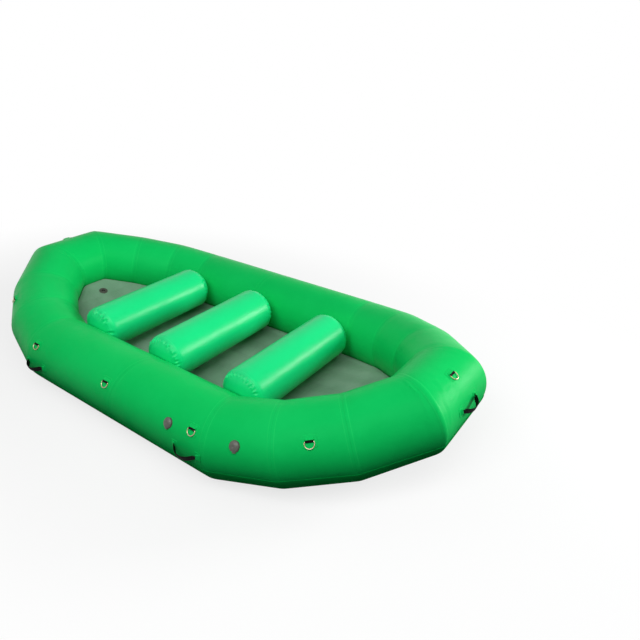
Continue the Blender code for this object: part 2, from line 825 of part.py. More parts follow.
def build_spring(name, frame, low, high, look):
    """A coil spring between two depths in a valve."""
    curve = bpy.data.curves.new(name, "CURVE")
    curve.dimensions = "3D"
    curve.bevel_depth = SPRING_WIRE
    curve.bevel_resolution = 0
    curve.use_fill_caps = True
    curve.materials.append(look)
    seat = SPRING_WIRE + GAP
    steps = round(SPRING_TURNS * SPRING_STEPS)
    spline = curve.splines.new("POLY")
    spline.points.add(steps)
    for step, point in enumerate(spline.points):
        x, y = polar(SPRING_RADIUS, 360.0 * step / SPRING_STEPS)
        point.co = (x, y, low + seat + (high - low - 2 * seat) * step / steps, 1.0)
    made = bpy.data.objects.new(name, curve)
    bpy.context.collection.objects.link(made)
    made.matrix_world = frame


def build_cap(name, frame, look):
    """A domed cap that swings on the tab at its lower edge."""
    mesh = bmesh.new()
    profile = (
        (0.0, CAP_HEIGHT),
        (0.45 * VALVE_RADIUS, 0.94 * CAP_HEIGHT),
        (0.80 * VALVE_RADIUS, 0.68 * CAP_HEIGHT),
        (VALVE_RADIUS, CAP_RIM),
        (VALVE_RADIUS, 0.0),
        (0.0, 0.0),
    )
    middle = Matrix.Translation((0.0, CAP_HINGE_REACH, GAP))
    turned(mesh, middle, profile, CAP_SIDES)
    pivot = frame @ Matrix.Translation((0.0, -CAP_HINGE_REACH, VALVE_TOP))
    made = finish("cap_" + name, mesh, look, pivot)
    tab = bmesh.new()
    inside = CAP_HINGE_REACH - VALVE_RADIUS + 2 * CAP_RIM
    block(
        tab, pivot,
        (-CAP_TAB_WIDTH / 2, 0.0, GAP + CAP_RIM / 10),
        (CAP_TAB_WIDTH / 2, inside, GAP + CAP_RIM / 10 + CAP_TAB_THICKNESS),
    )
    combine(made, "tab_" + name, tab, "UNION")


def bore_skin(skin, name, frame):
    """A round hole through a skin for a valve's neck."""
    hole = bmesh.new()
    radius = VALVE_NECK + VALVE_HOLE_CLEARANCE
    turned(hole, frame, ((radius, -VALVE_NECK), (radius, VALVE_NECK)), VALVE_SIDES)
    combine(skin, name + "_hole", hole, "DIFFERENCE")


def build_valves(skins, looks):
    """Every inflation valve, with its hole, plunger, spring and cap."""
    seal = -VALVE_WEB_DEPTH - VALVE_WEB - GAP
    button = -PLUNGER_BUTTON_DEPTH
    under = button - PLUNGER_DISC_THICKNESS
    discs = (
        (PLUNGER_BUTTON, button, under),
        (PLUNGER_DISC, seal, seal - PLUNGER_DISC_THICKNESS),
    )
    for name, frame, skin in valve_stations():
        build_valve_body("valve_body_" + name, frame, VALVE_RADIUS, looks["grey"])
        build_poppet("valve_plunger_" + name, frame, discs, looks["black"])
        build_spring("valve_spring_" + name, frame, -VALVE_WEB_DEPTH, under, looks["steel"])
        build_cap(name, frame, looks["grey"])
        bore_skin(skins[skin], name, frame)


def build_relief_valve(skin, looks):
    """The floor's own valve, which fills it and lets off extra pressure."""
    frame = relief_frame()
    build_valve_body("relief_valve_body", frame, RELIEF_RADIUS, looks["grey"])
    bore_skin(skin, "relief", frame)
    seat = GAP - VALVE_WEB_DEPTH
    collar = -RELIEF_COLLAR_DEPTH
    discs = (
        (RELIEF_DISC, seat + PLUNGER_DISC_THICKNESS, seat),
        (RELIEF_COLLAR, collar, collar - PLUNGER_DISC_THICKNESS),
    )
    build_poppet("relief_valve_poppet", frame, discs, looks["black"])
    web = -VALVE_WEB_DEPTH - VALVE_WEB
    build_spring("relief_valve_spring", frame, collar, web, looks["steel"])


def main():
    for old in list(bpy.data.objects):
        bpy.data.objects.remove(old)
    looks = {
        "grey": material("valve_grey", GREY, 0.5),
        "steel": material("steel", STEEL, 0.3, 1.0),
        "black": material("black_webbing", BLACK, 0.8),
    }
    tube = material("tube_fabric", GREEN, 0.35)
    dark = material("chafer_fabric", DARK_GREEN, 0.45)
    bright = material("thwart_fabric", BRIGHT_GREEN, 0.35)
    floor = material("floor_fabric", GREY_GREEN, 0.3)
    skins = {side + "_tube": build_side_tube(side + "_tube", index, tube) for side, index in SIDES}
    skins["bow_tube"] = build_end_tube("bow_tube", 0, tube)
    skins["stern_tube"] = build_end_tube("stern_tube", PORT_PANEL + 1, tube)
    tubes = dict(skins)
    for name, station in THWART_STATIONS:
        skins[name + "_thwart"] = build_thwart(name + "_thwart", station, bright)
    build_valves(skins, looks)
    bond_fittings(tubes)
    build_chafer(dark)
    floor_skin = build_floor(floor)
    build_flange(dark)
    for name, index, offset, facing in dring_stations():
        build_dring(name, PANELS[index].frame(offset, facing, TUBE_RADIUS), looks["steel"])
    for name, index, offset, facing in handle_stations():
        frame = PANELS[index].frame(offset, facing, TUBE_RADIUS)
        build_handle(name, frame, facing, looks["black"])
    build_relief_valve(floor_skin, looks)


main()
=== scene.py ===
"""Dressed model of an inflated whitewater raft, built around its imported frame.

Each new surface is a formula on a grid of two parameters, worked out as whole
arrays in metres. The bow is at +X, port at +Y, and Z is up.
"""

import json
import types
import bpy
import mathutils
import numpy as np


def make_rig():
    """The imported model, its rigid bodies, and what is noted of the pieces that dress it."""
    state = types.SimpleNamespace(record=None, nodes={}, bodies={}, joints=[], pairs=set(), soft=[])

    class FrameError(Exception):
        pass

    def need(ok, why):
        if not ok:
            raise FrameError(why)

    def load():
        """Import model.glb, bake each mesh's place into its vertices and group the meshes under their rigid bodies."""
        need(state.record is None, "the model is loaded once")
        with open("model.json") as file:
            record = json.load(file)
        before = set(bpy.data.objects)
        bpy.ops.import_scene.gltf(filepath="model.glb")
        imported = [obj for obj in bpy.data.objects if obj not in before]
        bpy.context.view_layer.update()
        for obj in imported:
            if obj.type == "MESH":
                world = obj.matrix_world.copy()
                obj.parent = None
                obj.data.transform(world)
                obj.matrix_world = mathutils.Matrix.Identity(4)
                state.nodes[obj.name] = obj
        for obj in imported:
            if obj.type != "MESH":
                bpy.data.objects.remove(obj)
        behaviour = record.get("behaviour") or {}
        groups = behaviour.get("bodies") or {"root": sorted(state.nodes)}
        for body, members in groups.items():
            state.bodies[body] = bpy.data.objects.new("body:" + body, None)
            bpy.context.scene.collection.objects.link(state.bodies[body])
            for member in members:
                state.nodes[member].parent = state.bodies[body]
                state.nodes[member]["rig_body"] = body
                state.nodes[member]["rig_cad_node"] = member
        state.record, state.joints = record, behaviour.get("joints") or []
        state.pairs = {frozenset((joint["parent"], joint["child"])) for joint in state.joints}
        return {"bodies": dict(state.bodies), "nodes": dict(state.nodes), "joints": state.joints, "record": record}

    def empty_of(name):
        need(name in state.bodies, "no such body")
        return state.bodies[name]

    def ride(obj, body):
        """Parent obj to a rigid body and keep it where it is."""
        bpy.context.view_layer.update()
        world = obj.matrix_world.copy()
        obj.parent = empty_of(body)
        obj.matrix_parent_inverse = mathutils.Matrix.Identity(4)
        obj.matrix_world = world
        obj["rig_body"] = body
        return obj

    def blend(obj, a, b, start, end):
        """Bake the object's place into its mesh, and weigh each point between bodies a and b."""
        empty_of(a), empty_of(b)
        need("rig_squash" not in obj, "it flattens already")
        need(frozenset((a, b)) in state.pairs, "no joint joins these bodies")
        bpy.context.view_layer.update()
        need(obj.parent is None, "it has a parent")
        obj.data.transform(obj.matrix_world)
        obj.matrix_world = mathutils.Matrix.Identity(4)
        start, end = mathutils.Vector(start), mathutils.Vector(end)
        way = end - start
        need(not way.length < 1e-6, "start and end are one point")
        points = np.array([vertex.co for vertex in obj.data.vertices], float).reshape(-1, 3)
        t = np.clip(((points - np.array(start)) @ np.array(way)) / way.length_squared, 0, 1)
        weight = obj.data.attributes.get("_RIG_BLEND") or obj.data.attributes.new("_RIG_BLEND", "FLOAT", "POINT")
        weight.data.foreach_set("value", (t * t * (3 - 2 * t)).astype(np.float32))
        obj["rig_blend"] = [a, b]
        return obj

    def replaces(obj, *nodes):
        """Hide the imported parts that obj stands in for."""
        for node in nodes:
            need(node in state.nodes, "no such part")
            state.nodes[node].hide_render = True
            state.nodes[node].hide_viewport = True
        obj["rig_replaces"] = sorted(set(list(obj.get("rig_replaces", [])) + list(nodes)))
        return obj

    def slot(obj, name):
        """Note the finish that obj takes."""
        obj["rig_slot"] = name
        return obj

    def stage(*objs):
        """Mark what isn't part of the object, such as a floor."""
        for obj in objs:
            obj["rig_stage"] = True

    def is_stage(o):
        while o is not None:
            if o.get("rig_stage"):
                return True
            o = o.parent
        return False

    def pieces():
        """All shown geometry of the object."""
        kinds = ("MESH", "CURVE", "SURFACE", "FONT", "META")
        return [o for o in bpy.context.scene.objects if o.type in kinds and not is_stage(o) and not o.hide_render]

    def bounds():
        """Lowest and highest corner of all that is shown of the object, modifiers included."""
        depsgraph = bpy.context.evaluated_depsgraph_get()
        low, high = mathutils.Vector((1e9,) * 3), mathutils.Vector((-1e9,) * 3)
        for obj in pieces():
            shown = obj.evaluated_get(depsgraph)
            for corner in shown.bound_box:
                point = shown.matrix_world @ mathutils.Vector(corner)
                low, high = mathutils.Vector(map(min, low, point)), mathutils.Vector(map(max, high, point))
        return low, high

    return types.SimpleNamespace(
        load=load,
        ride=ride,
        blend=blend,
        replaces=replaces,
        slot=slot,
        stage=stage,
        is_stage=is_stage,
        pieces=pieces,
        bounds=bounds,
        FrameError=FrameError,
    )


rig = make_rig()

bl_info = {
    "name": "Whitewater Raft",
    "version": (1, 0, 0),
    "blender": (4, 5, 0),
    "location": "3D View > Sidebar > Raft",
    "description": "Inflated tubes, thwarts, floor and fittings of a whitewater raft",
    "category": "Add Mesh",
}

import json
import math

import bmesh
import bpy
import numpy as np
from bpy.props import FloatProperty, FloatVectorProperty, IntProperty, PointerProperty
from mathutils import Matrix, Vector

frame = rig.load()
CAD_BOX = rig.bounds()

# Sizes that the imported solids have, in metres and degrees
BEAM = 2.13
STRAIGHT = 1.83
RADIUS = 0.254
END_WIDTH = 0.414
END_TURN = 16.0
END_KICKS = (8.5, 10.7, 12.9)
GAP = 0.0003
CHAFER = 0.002
AXIS_HEIGHT = RADIUS + GAP + CHAFER
AXIS_SIDE = BEAM / 2 - RADIUS
THWARTS = {"forward": STRAIGHT / 2 - 0.14, "middle": 0.0, "aft": 0.14 - STRAIGHT / 2}
THWART_RADIUS = 0.178
THWART_HEIGHT = AXIS_HEIGHT + 0.092
FLOOR_DROP = 0.137
FLOOR_DEPTH = 0.10
FLOOR_INSET = 0.22105
DRAIN_PLACE, DRAIN_RADIUS, DRAIN_PITCH = -0.155, 0.025, 0.38
VALVE_TOP, HINGE_PLACE = 0.0047, -0.037
VALVE_RADIUS, RELIEF_RADIUS = 0.0348, 0.038
VALVE_FACING, RING_FACING, HANDLE_FACING = 30.0, 38.0, 5.0
END_RING_FACING, END_HANDLE_FACING = 60.0, 14.0

# Sixteen lengths of tube make the hull, counted from the starboard bow quarter
PORT, STARBOARD = 7, 15
BOW, STERN = 3, 11
SIDES = (("starboard", STARBOARD, 1), ("port", PORT, -1))
CHAMBERS = {"starboard": (STARBOARD, 1), "port": (PORT, 1), "bow": (0, PORT), "stern": (PORT + 1, PORT)}

# How far a seam's tape reaches from it, where a side tube has a seam of its own,
# and the lengths at the bow whose tapes stand higher
TAPE = 0.0195
SIDE_SEAM = 1.015
THICK_TAPES = (2, 3)
# How far the floor's middle line runs to each end
FLOOR_RIDGE = 1.30
# The starboard and the port end of a thwart: the power of the cap's outline,
# its depth, and how far before the hull it starts
THWART_ENDS = ((2.1, 0.110, 0.082), (1.5, 0.140, 0.141))
# Half length and half width of the patches, and a handle's end from its middle
RING_PATCH, HANDLE_PATCH = (0.047, 0.0376), (0.028, 0.031)
HANDLE_REACH = 0.1003
# A handle's webbing, with its width at the ends, and the webbing round a ring's bar
STRAP_END, STRAP_THICKNESS = 0.024, 0.0026
WEBBING_WIDTH, WEBBING_THICKNESS = 0.0478, 0.0017
# The springs' ends under a valve's rim: the one in the hull and the one on the stem
VALVE_SPRING, RELIEF_SPRING = (-0.0130, -0.0043), (-0.0179, -0.0263)


def unit(vectors):
    """Vectors divided by their lengths."""
    return vectors / np.linalg.norm(vectors, axis=-1, keepdims=True)


def smooth(values, low, high):
    """Zero below low and one above high, with a smooth step between."""
    share = np.clip((values - low) / (high - low), 0.0, 1.0)
    return share * share * (3.0 - 2.0 * share)


def curve(t, start, middle, end):
    """The curve (1 - t)^2 a + 2 t (1 - t) b + t^2 c."""
    return (1 - t) ** 2 * start + 2 * t * (1 - t) * middle + t ** 2 * end


def arc(middle, radius, start, end, count):
    """Points of an arc between two angles in degrees, without its last."""
    return middle + around(radius, np.linspace(start, end, count)[:-1])


def rounded(count, power):
    """Both parts of points round |x|^n + |y|^n = 1: cosines and sines raised
    to 2 / n, with their signs kept."""
    turn = np.linspace(0.0, 2 * math.pi, count)
    return [np.sign(part) * np.abs(part) ** (2 / power) for part in (np.cos(turn), np.sin(turn))]


def lengths(points):
    """Metres along a row of points, from its first."""
    return np.concatenate([[0.0], np.cumsum(np.linalg.norm(np.diff(points, axis=0), axis=-1))])


def chart(u, v):
    """Every u with every v, as a grid's UV map."""
    return np.stack(np.meshgrid(u, v, indexing="ij"), -1)


# The hull's centreline and its sixteen straight lengths

def hull_corners():
    """Corners of the centreline, starboard bow quarter first: each end length
    turns in by one more step and climbs a little more steeply."""
    turns = np.radians(END_TURN * np.arange(1, 4))
    length = (AXIS_SIDE - END_WIDTH / 2) / np.sin(turns).sum()
    steps = length * np.stack([np.cos(turns), -np.sin(turns), np.tan(np.radians(END_KICKS))], 1)
    start = np.array([[STRAIGHT / 2, AXIS_SIDE, AXIS_HEIGHT]])
    quarter = np.concatenate([start, start + np.cumsum(steps, 0)])
    bow = np.concatenate([quarter * (1, -1, 1), quarter[::-1]])
    return np.concatenate([bow, bow * (-1, -1, 1)])


CORNERS = hull_corners()
ALONG = unit(np.roll(CORNERS, -1, 0) - CORNERS)
OUT = unit(np.cross(ALONG, (0.0, 0.0, 1.0)))
UP = np.cross(OUT, ALONG)
CUT = unit(ALONG + np.roll(ALONG, 1, 0))
LENGTHS = np.linalg.norm(np.roll(CORNERS, -1, 0) - CORNERS, axis=1)


def around(radius, degrees):
    """Out and up offsets of points at angles about a tube."""
    angle = np.radians(degrees)
    return np.stack([radius * np.cos(angle), radius * np.sin(angle)], -1)


def beside(length, offsets):
    """Out and up offsets from one length of tube, in the raft's frame."""
    return offsets[..., :1] * OUT[length % 16] + offsets[..., 1:] * UP[length % 16]


def mitre(length, corner, offsets):
    """Offsets slid along one length of tube to the plane that halves a corner."""
    base = CORNERS[corner] + beside(length, offsets)
    slide = ((CORNERS[corner] - base) @ CUT[corner]) / (ALONG[length] @ CUT[corner])
    return base + slide[..., None] * ALONG[length]


def corner_ring(corner, offsets):
    """The mean of what the two lengths at a corner put on its mitre. Where a
    straight side meets an end, the side alone decides."""
    corner %= 16
    before = mitre((corner - 1) % 16, corner, offsets)
    after = mitre(corner, corner, offsets)
    if corner in (0, PORT + 1):
        return before
    if corner in (PORT, STARBOARD):
        return after
    return (before + after) / 2


def stations(length, seams):
    """Distances along a length of tube, closest together at its seams. Each
    span between seams follows t - fine sin(2 pi t) / (2 pi)."""
    fine, count, usual = 0.9, 46, 0.39
    marks = [0.0, *seams, length]
    found = []
    for low, high in zip(marks, marks[1:]):
        t = np.linspace(0.0, 1.0, max(int(count * ((high - low) / usual) ** 0.5), 8))
        found.append(low + (high - low) * (t - fine * np.sin(2 * math.pi * t) / (2 * math.pi)))
    return np.concatenate([found[0]] + [part[1:] for part in found[1:]])


def run_of_tube(first, count, profile, softness, seams=None):
    """Points, outward normals, distance along each length, distance to the
    nearest seam and the length's number for a profile carried along the hull.

    Each generator is straight between its two mitres. At a mitre its corner
    is rounded by putting sqrt(s s + w w) in place of the distance |s|."""
    rings = [corner_ring(first + i, profile) for i in range(-1, count + 2)]
    facing = unit(profile)
    parts = []
    for step in range(count):
        number = (first + step) % 16
        start, end = rings[step + 1], rings[step + 2]
        before, here, after = unit(start - rings[step]), unit(end - start), unit(rings[step + 3] - end)
        marks = (seams or {}).get(number, ())
        share = stations(LENGTHS[number], marks) / LENGTHS[number]
        if step:
            share = share[1:]
        ahead = share[:, None] * np.linalg.norm(end - start, axis=-1)
        back = np.linalg.norm(end - start, axis=-1) - ahead
        points = start + share[:, None, None] * (end - start)
        own, earlier, later = (beside(each, facing) for each in (number, number - 1, number + 1))
        normals = own
        for distance, turn, other in ((ahead, here - before, earlier), (back, after - here, later)):
            fold = np.sqrt(distance ** 2 + softness ** 2) - distance
            points = points + turn / 2 * fold[..., None]
            normals = normals + (other - own) * 0.5 * np.exp(-distance / softness)[..., None]
        place = share[:, None] * LENGTHS[number] - LENGTHS[number] / 2 + 0 * ahead
        seam = np.where(ahead < back, ahead, -back)
        for mark in marks:
            offset = ahead - mark
            seam = np.where(np.abs(offset) < np.abs(seam), offset, seam)
        parts.append((points, unit(normals), place, seam, np.full(place.shape, number)))
    return [np.concatenate(field) for field in zip(*parts)]


def spot(length, offset):
    """A point on the axis of a length, at a distance from its middle."""
    return CORNERS[length] + ALONG[length] * (LENGTHS[length] / 2 + offset)


def fitting_frame(length, offset, degrees):
    """A frame on a tube's skin: X along the tube, Y up its side, Z outward."""
    rising, facing = (beside(length, around(1.0, turn)) for turn in (degrees + 90.0, degrees))
    return np.array([ALONG[length], rising, facing]), spot(length, offset) + facing * RADIUS


def placed(points, station, shift=(0.0, 0.0, 0.0)):
    """Points of a fitting's own frame in the raft's frame."""
    axes, origin = station
    return (points + np.array(shift)) @ axes + origin


# Meshes

class Skin:
    """Gathers grids of points into one mesh, with a UV map in metres and an
    attribute that tells how far each point is from its nearest seam."""

    def __init__(self):
        self.fields = {"points": [], "uv": [], "seam": []}
        self.faces = []
        self.count = 0

    def grid(self, points, uv=None, seam=None, keep=None):
        """Quads between neighbouring rows and columns. keep leaves faces out."""
        rows, columns = points.shape[:2]
        if uv is None:
            steps = [np.linalg.norm(np.diff(points, axis=way), axis=-1).mean(1 - way) for way in (0, 1)]
            uv = chart(*(np.concatenate([[0.0], np.cumsum(step)]) for step in steps))
        if seam is None:
            seam = np.full((rows, columns), 1.0)
        index = np.arange(rows * columns).reshape(rows, columns) + self.count
        quads = np.stack([index[:-1, :-1], index[1:, :-1], index[1:, 1:], index[:-1, 1:]], -1)
        if keep is not None:
            quads = quads[keep]
        self.faces.append(quads.reshape(-1, 4))
        self.fields["points"].append(points.reshape(-1, 3))
        self.fields["uv"].append(uv.reshape(-1, 2))
        self.fields["seam"].append(seam.reshape(-1))
        self.count += rows * columns
        return self

    def sweep(self, points, station, shift=(0.0, 0.0, 0.0)):
        """A swept piece in a fitting's frame."""
        return self.grid(placed(points, station, shift), swept_uv(points))

    def lathe(self, profile, station, sides, bevel):
        """A turned piece with softened corners in a fitting's frame."""
        return self.grid(placed(turned(softened(profile, bevel, 2), sides), station))

    def make(self, name, look, body, slot, replaces=(), sharp=40.0):
        """One object at the origin, with its doubles merged and its faces
        turned outward. It rides on a body, if one is given."""
        points, uv, seam = (np.concatenate(self.fields[key]) for key in ("points", "uv", "seam"))
        faces = np.concatenate(self.faces).astype(np.int32)
        mesh = bpy.data.meshes.new(name)
        mesh.vertices.add(len(points))
        mesh.vertices.foreach_set("co", points.astype(np.float32).ravel())
        mesh.loops.add(faces.size)
        mesh.loops.foreach_set("vertex_index", faces.ravel())
        mesh.polygons.add(len(faces))
        mesh.polygons.foreach_set("loop_start", np.arange(0, faces.size, 4, dtype=np.int32))
        mesh.update(calc_edges=True)
        layer = mesh.uv_layers.new(name="cloth")
        layer.uv.foreach_set("vector", uv[faces.ravel()].astype(np.float32).ravel())
        mesh.attributes.new("seam", "FLOAT", "POINT").data.foreach_set("value", seam.astype(np.float32))
        work = bmesh.new()
        work.from_mesh(mesh)
        bmesh.ops.remove_doubles(work, verts=work.verts, dist=2e-6)
        bmesh.ops.dissolve_degenerate(work, edges=work.edges, dist=1e-7)
        bmesh.ops.recalc_face_normals(work, faces=work.faces)
        work.to_mesh(mesh)
        work.free()
        mesh.shade_smooth()
        mesh.set_sharp_from_angle(angle=math.radians(sharp))
        mesh.materials.append(looks()[look])
        made = bpy.data.objects.new(name, mesh)
        bpy.context.scene.collection.objects.link(made)
        if body:
            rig.ride(made, body)
        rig.slot(made, slot)
        if replaces:
            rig.replaces(made, *replaces)
        return made


def turned(profile, sides, ripple=None):
    """A profile of radius and height turned about Z. ripple is added to the
    radius as a function of the angle and the height."""
    angle = np.linspace(0.0, 2 * math.pi, sides + 1)
    radius, height = np.array(profile, float).T
    radius = np.repeat(radius[:, None], sides + 1, 1)
    if ripple is not None:
        radius = radius + np.where(radius > 0, ripple(angle[None, :], height[:, None]), 0.0)
    return np.stack([radius * np.cos(angle), radius * np.sin(angle), height[:, None] + 0 * radius], -1)


def softened(profile, bevel=0.0008, steps=3):
    """A profile whose inner corners are replaced by small arcs: the curve with
    control points before, at and after the corner."""
    profile = np.array(profile, float)
    t = np.linspace(0.0, 1.0, steps + 1)[:, None]
    found = [profile[:1]]
    for before, here, after in zip(profile, profile[1:], profile[2:]):
        first, last = before - here, after - here
        size = min(bevel, 0.45 * np.linalg.norm(first), 0.45 * np.linalg.norm(last))
        found.append(curve(t, here + unit(first) * size, here, here + unit(last) * size))
    return np.concatenate(found + [profile[-1:]])


def swept(path, across, outward, width, thickness, section, power, closed=False):
    """A strap or wire carried along a path. Its section is the rounded box
    (w/2 c, t/2 s), with c and s the signed powers of cosine and sine."""
    wide, tall = (part[:, None] / 2 for part in rounded(section + 1, power))
    width, thickness = (np.broadcast_to(size, len(path))[:, None, None] for size in (width, thickness))
    rows = path[:, None] + across[:, None] * wide * width + outward[:, None] * tall * thickness
    if closed:
        return np.concatenate([rows, rows[:1]])
    ends = [np.repeat(path[end][None, None], section + 1, 1) for end in (0, -1)]
    return np.concatenate([ends[0], rows, ends[1]])


def strap(path, across, width, thickness, section=18):
    """A strip of webbing that keeps one direction across its path."""
    across = np.tile(across, (len(path), 1))
    outward = np.cross(across, unit(np.gradient(path, axis=0)))
    return swept(path, across, outward, width, thickness, section, 7.0)


def swept_uv(points):
    """Metres along a swept piece and metres round its section."""
    return chart(lengths(points[:, :-1].mean(1)), lengths(points[len(points) // 2]))


# Shader expressions

class Value:
    """A shader socket that can be used in sums and products."""

    def __init__(self, plan, socket):
        self.plan = plan
        self.socket = socket

    def __add__(self, other):
        return self.plan.maths("ADD", self, other)

    def __sub__(self, other):
        return self.plan.maths("SUBTRACT", self, other)

    def __rsub__(self, other):
        return self.plan.maths("SUBTRACT", other, self)

    def __mul__(self, other):
        return self.plan.maths("MULTIPLY", self, other)

    def __truediv__(self, other):
        return self.plan.maths("DIVIDE", self, other)


class Plan:
    """The nodes of one material, with a shader of constant settings."""

    def __init__(self, name, **constants):
        self.look = bpy.data.materials.new(name)
        self.look.use_nodes = True
        self.tree = self.look.node_tree
        self.shader = self.tree.nodes["Principled BSDF"]
        for socket, value in constants.items():
            self.shader.inputs[socket.replace("_", " ")].default_value = value

    @classmethod
    def of_tree(cls, tree):
        """The same helpers on another tree, which has no shader of its own."""
        plan = cls.__new__(cls)
        plan.tree = tree
        return plan

    def node(self, kind, settings=None, inputs=None, output=0):
        """A node of a kind, its settings first and then its sockets."""
        made = self.tree.nodes.new("ShaderNode" + kind)
        for name, value in (settings or {}).items():
            setattr(made, name, value)
        for name, value in (inputs or {}).items():
            if isinstance(value, Value):
                self.tree.links.new(value.socket, made.inputs[name])
            else:
                made.inputs[name].default_value = value
        return Value(self, made.outputs[output])

    def maths(self, operation, first, second=0.0, clamp=False):
        """A sum, product or other operation on one or two values."""
        return self.node("Math", {"operation": operation, "use_clamp": clamp}, {0: first, 1: second})

    def seen(self):
        """One where the ray comes from the camera, a mirror or a glass."""
        path = self.tree.nodes.new("ShaderNodeLightPath")
        seen = Value(self, path.outputs["Is Camera Ray"])
        for kind in ("Is Glossy Ray", "Is Transmission Ray"):
            seen = self.maths("MAXIMUM", seen, Value(self, path.outputs[kind]))
        return seen

    def place(self):
        """Object coordinates, which are the raft's own in metres."""
        return self.node("TexCoord", output=3)

    def height(self):
        """Height over the ground."""
        return self.node("SeparateXYZ", None, {0: self.place()}, output=2)

    def cloth(self, part):
        """Metres along or round the piece, from its UV map."""
        return self.node("SeparateXYZ", None, {0: self.node("UVMap", {"uv_map": "cloth"})}, output=part)

    def seam(self):
        """Metres from the nearest seam."""
        return self.maths("ABSOLUTE", self.node("Attribute", {"attribute_name": "seam"}, output=2))

    def noise(self, scale, detail=2.0, rough=0.5, twist=0.0):
        """Fractal noise from 0 to 1, in features per metre."""
        inputs = {"Vector": self.place(), "Scale": scale, "Detail": detail}
        return self.node("TexNoise", None, {**inputs, "Roughness": rough, "Distortion": twist})

    def step(self, value, low, high, start=0.0, end=1.0):
        """A smooth ramp of a value between two limits."""
        inputs = {"Value": value, 1: low, 2: high, 3: start, 4: end}
        return self.node("MapRange", {"interpolation_type": "SMOOTHSTEP"}, inputs)

    def line(self, distance, width, middle=0.0):
        """One on a line at a distance from the seam, fading to zero."""
        return 1.0 - self.step(self.maths("ABSOLUTE", distance - middle), 0.0, width)

    def weave(self, pitch):
        """Over and under threads: the product of two sines of the UV map."""
        over, under = (self.maths("SINE", self.cloth(part) * (2 * math.pi / pitch)) for part in (0, 1))
        return over * under

    def mix(self, factor, first, second):
        """One colour fading into another."""
        inputs = {"Factor": factor}
        for key, colour in ((6, first), (7, second)):
            inputs[key] = colour if isinstance(colour, Value) else (*colour, 1.0)
        return self.node("Mix", {"data_type": "RGBA"}, inputs, output=2)

    def bump(self, height, depth, under=None):
        """A normal bent by a height from 0 to 1 that stands for a depth."""
        inputs = {"Height": height, "Distance": depth, "Strength": 1.0}
        if under is not None:
            inputs["Normal"] = under
        return self.node("Bump", None, inputs)

    def finish(self, colour, gloss=None, base=0.0, normal=None):
        """Joins the colour, the roughness above its base, and the normal to
        the shader."""
        joined = {"Base Color": colour, "Normal": normal}
        if gloss is not None:
            joined["Roughness"] = self.maths("ADD", gloss, base, clamp=True)
        for name, value in joined.items():
            if value is not None:
                self.tree.links.new(value.socket, self.shader.inputs[name])
        return self.look


BLACK, WHITE = (0.0, 0.0, 0.0), (1.0, 1.0, 1.0)


def dyed(colour, times, plus=0.0):
    """A colour made deeper or paler."""
    return tuple(min(part * times + plus, 1.0) for part in colour)


# Finishes

def coated_fabric(name, colour, shade, roughness, shine, tint=(0.2, 1.0, 0.5), girth=None):
    """Coated cloth: a fine weave under a smooth skin, a painted highlight on the
    edges of each seam's tape, stronger higher up, a dark line on each seam, a
    little mottling, and a tone that darkens towards the ground. With a girth, a
    tube's radius, painted shade darkens the cloth low on the outside, where it is
    also duller."""
    plan = Plan(name, Specular_IOR_Level=shine, Specular_Tint=(*tint, 1.0))
    mottle = plan.noise(1.6, 3.0, 0.55) * 0.8 + plan.noise(17.0, 4.0, 0.6) * 0.2
    tone = plan.mix(plan.step(mottle, 0.36, 0.64), colour, shade)
    height, seam = plan.height(), plan.seam()
    # Painted highlight: a paler line on the edges of each seam's tape, stronger higher up, where the light catches
    # them.
    edge = plan.line(seam, 0.0022, TAPE) * plan.step(height, 0.30, 0.50, 0.18, 0.50)
    tone = plan.mix(edge, tone, dyed(colour, 1.22, 0.02))
    tone = plan.mix(plan.line(seam, 0.0016) * 0.35, tone, dyed(colour, 0.45))
    dull = 0.0
    if girth:
        turn = plan.cloth(1) / girth
        rise, out = plan.maths("SINE", turn), plan.maths("COSINE", turn)
        # Painted shade: the low outer side of a tube is darkened towards black, and it is also made duller.
        painted_shade_and_dull = plan.step(rise, -0.6, 0.6, 1.0, 0.0) * plan.step(out, 0.0, 0.4)
        tone = plan.mix(painted_shade_and_dull * 0.42, tone, BLACK)
        dull = painted_shade_and_dull * 0.6
    # Darker towards the ground, more so in blotches.
    low = plan.step(height, 0.02, 0.30, 1.0, 0.0)
    scuffs = plan.step(plan.noise(38.0, 6.0, 0.7, 0.8), 0.56, 0.72)
    tone = plan.mix(low * 0.16 + low * scuffs * 0.20, tone, (0.006, 0.110, 0.022))
    rub = plan.step(plan.noise(5.5, 5.0, 0.65), 0.45, 0.75)
    cloth = plan.bump(plan.weave(0.0016), 0.00004)
    ripple = plan.bump(plan.noise(7.5, 3.0, 0.5, 0.4), 0.0035, cloth)
    pores = plan.bump(plan.noise(160.0, 3.0, 0.6), 0.00025, ripple)
    return plan.finish(tone, rub * 0.12 + scuffs * 0.05 + dull, roughness - 0.05, pores)


def rib_fabric(name, colour, shade, roughness):
    """Floor cloth: coated, with the drop threads showing as faint dimples and
    fine grit in the low places."""
    plan = Plan(name, Specular_IOR_Level=0.25)
    broad = plan.noise(2.3, 4.0, 0.6)
    grit = plan.step(plan.noise(60.0, 6.0, 0.7), 0.52, 0.70)
    tone = plan.mix(plan.step(broad, 0.35, 0.65), colour, shade)
    tone = plan.mix(grit * 0.22, tone, dyed(colour, 0.62))
    tone = plan.mix(plan.line(plan.seam(), 0.003, 0.012) * 0.35, tone, dyed(colour, 0.55))
    threads = plan.bump(plan.weave(0.011), 0.00035)
    ripple = plan.bump(plan.noise(9.0, 3.0), 0.003, threads)
    return plan.finish(tone, grit * 0.15 + broad * 0.12, roughness - 0.06, ripple)


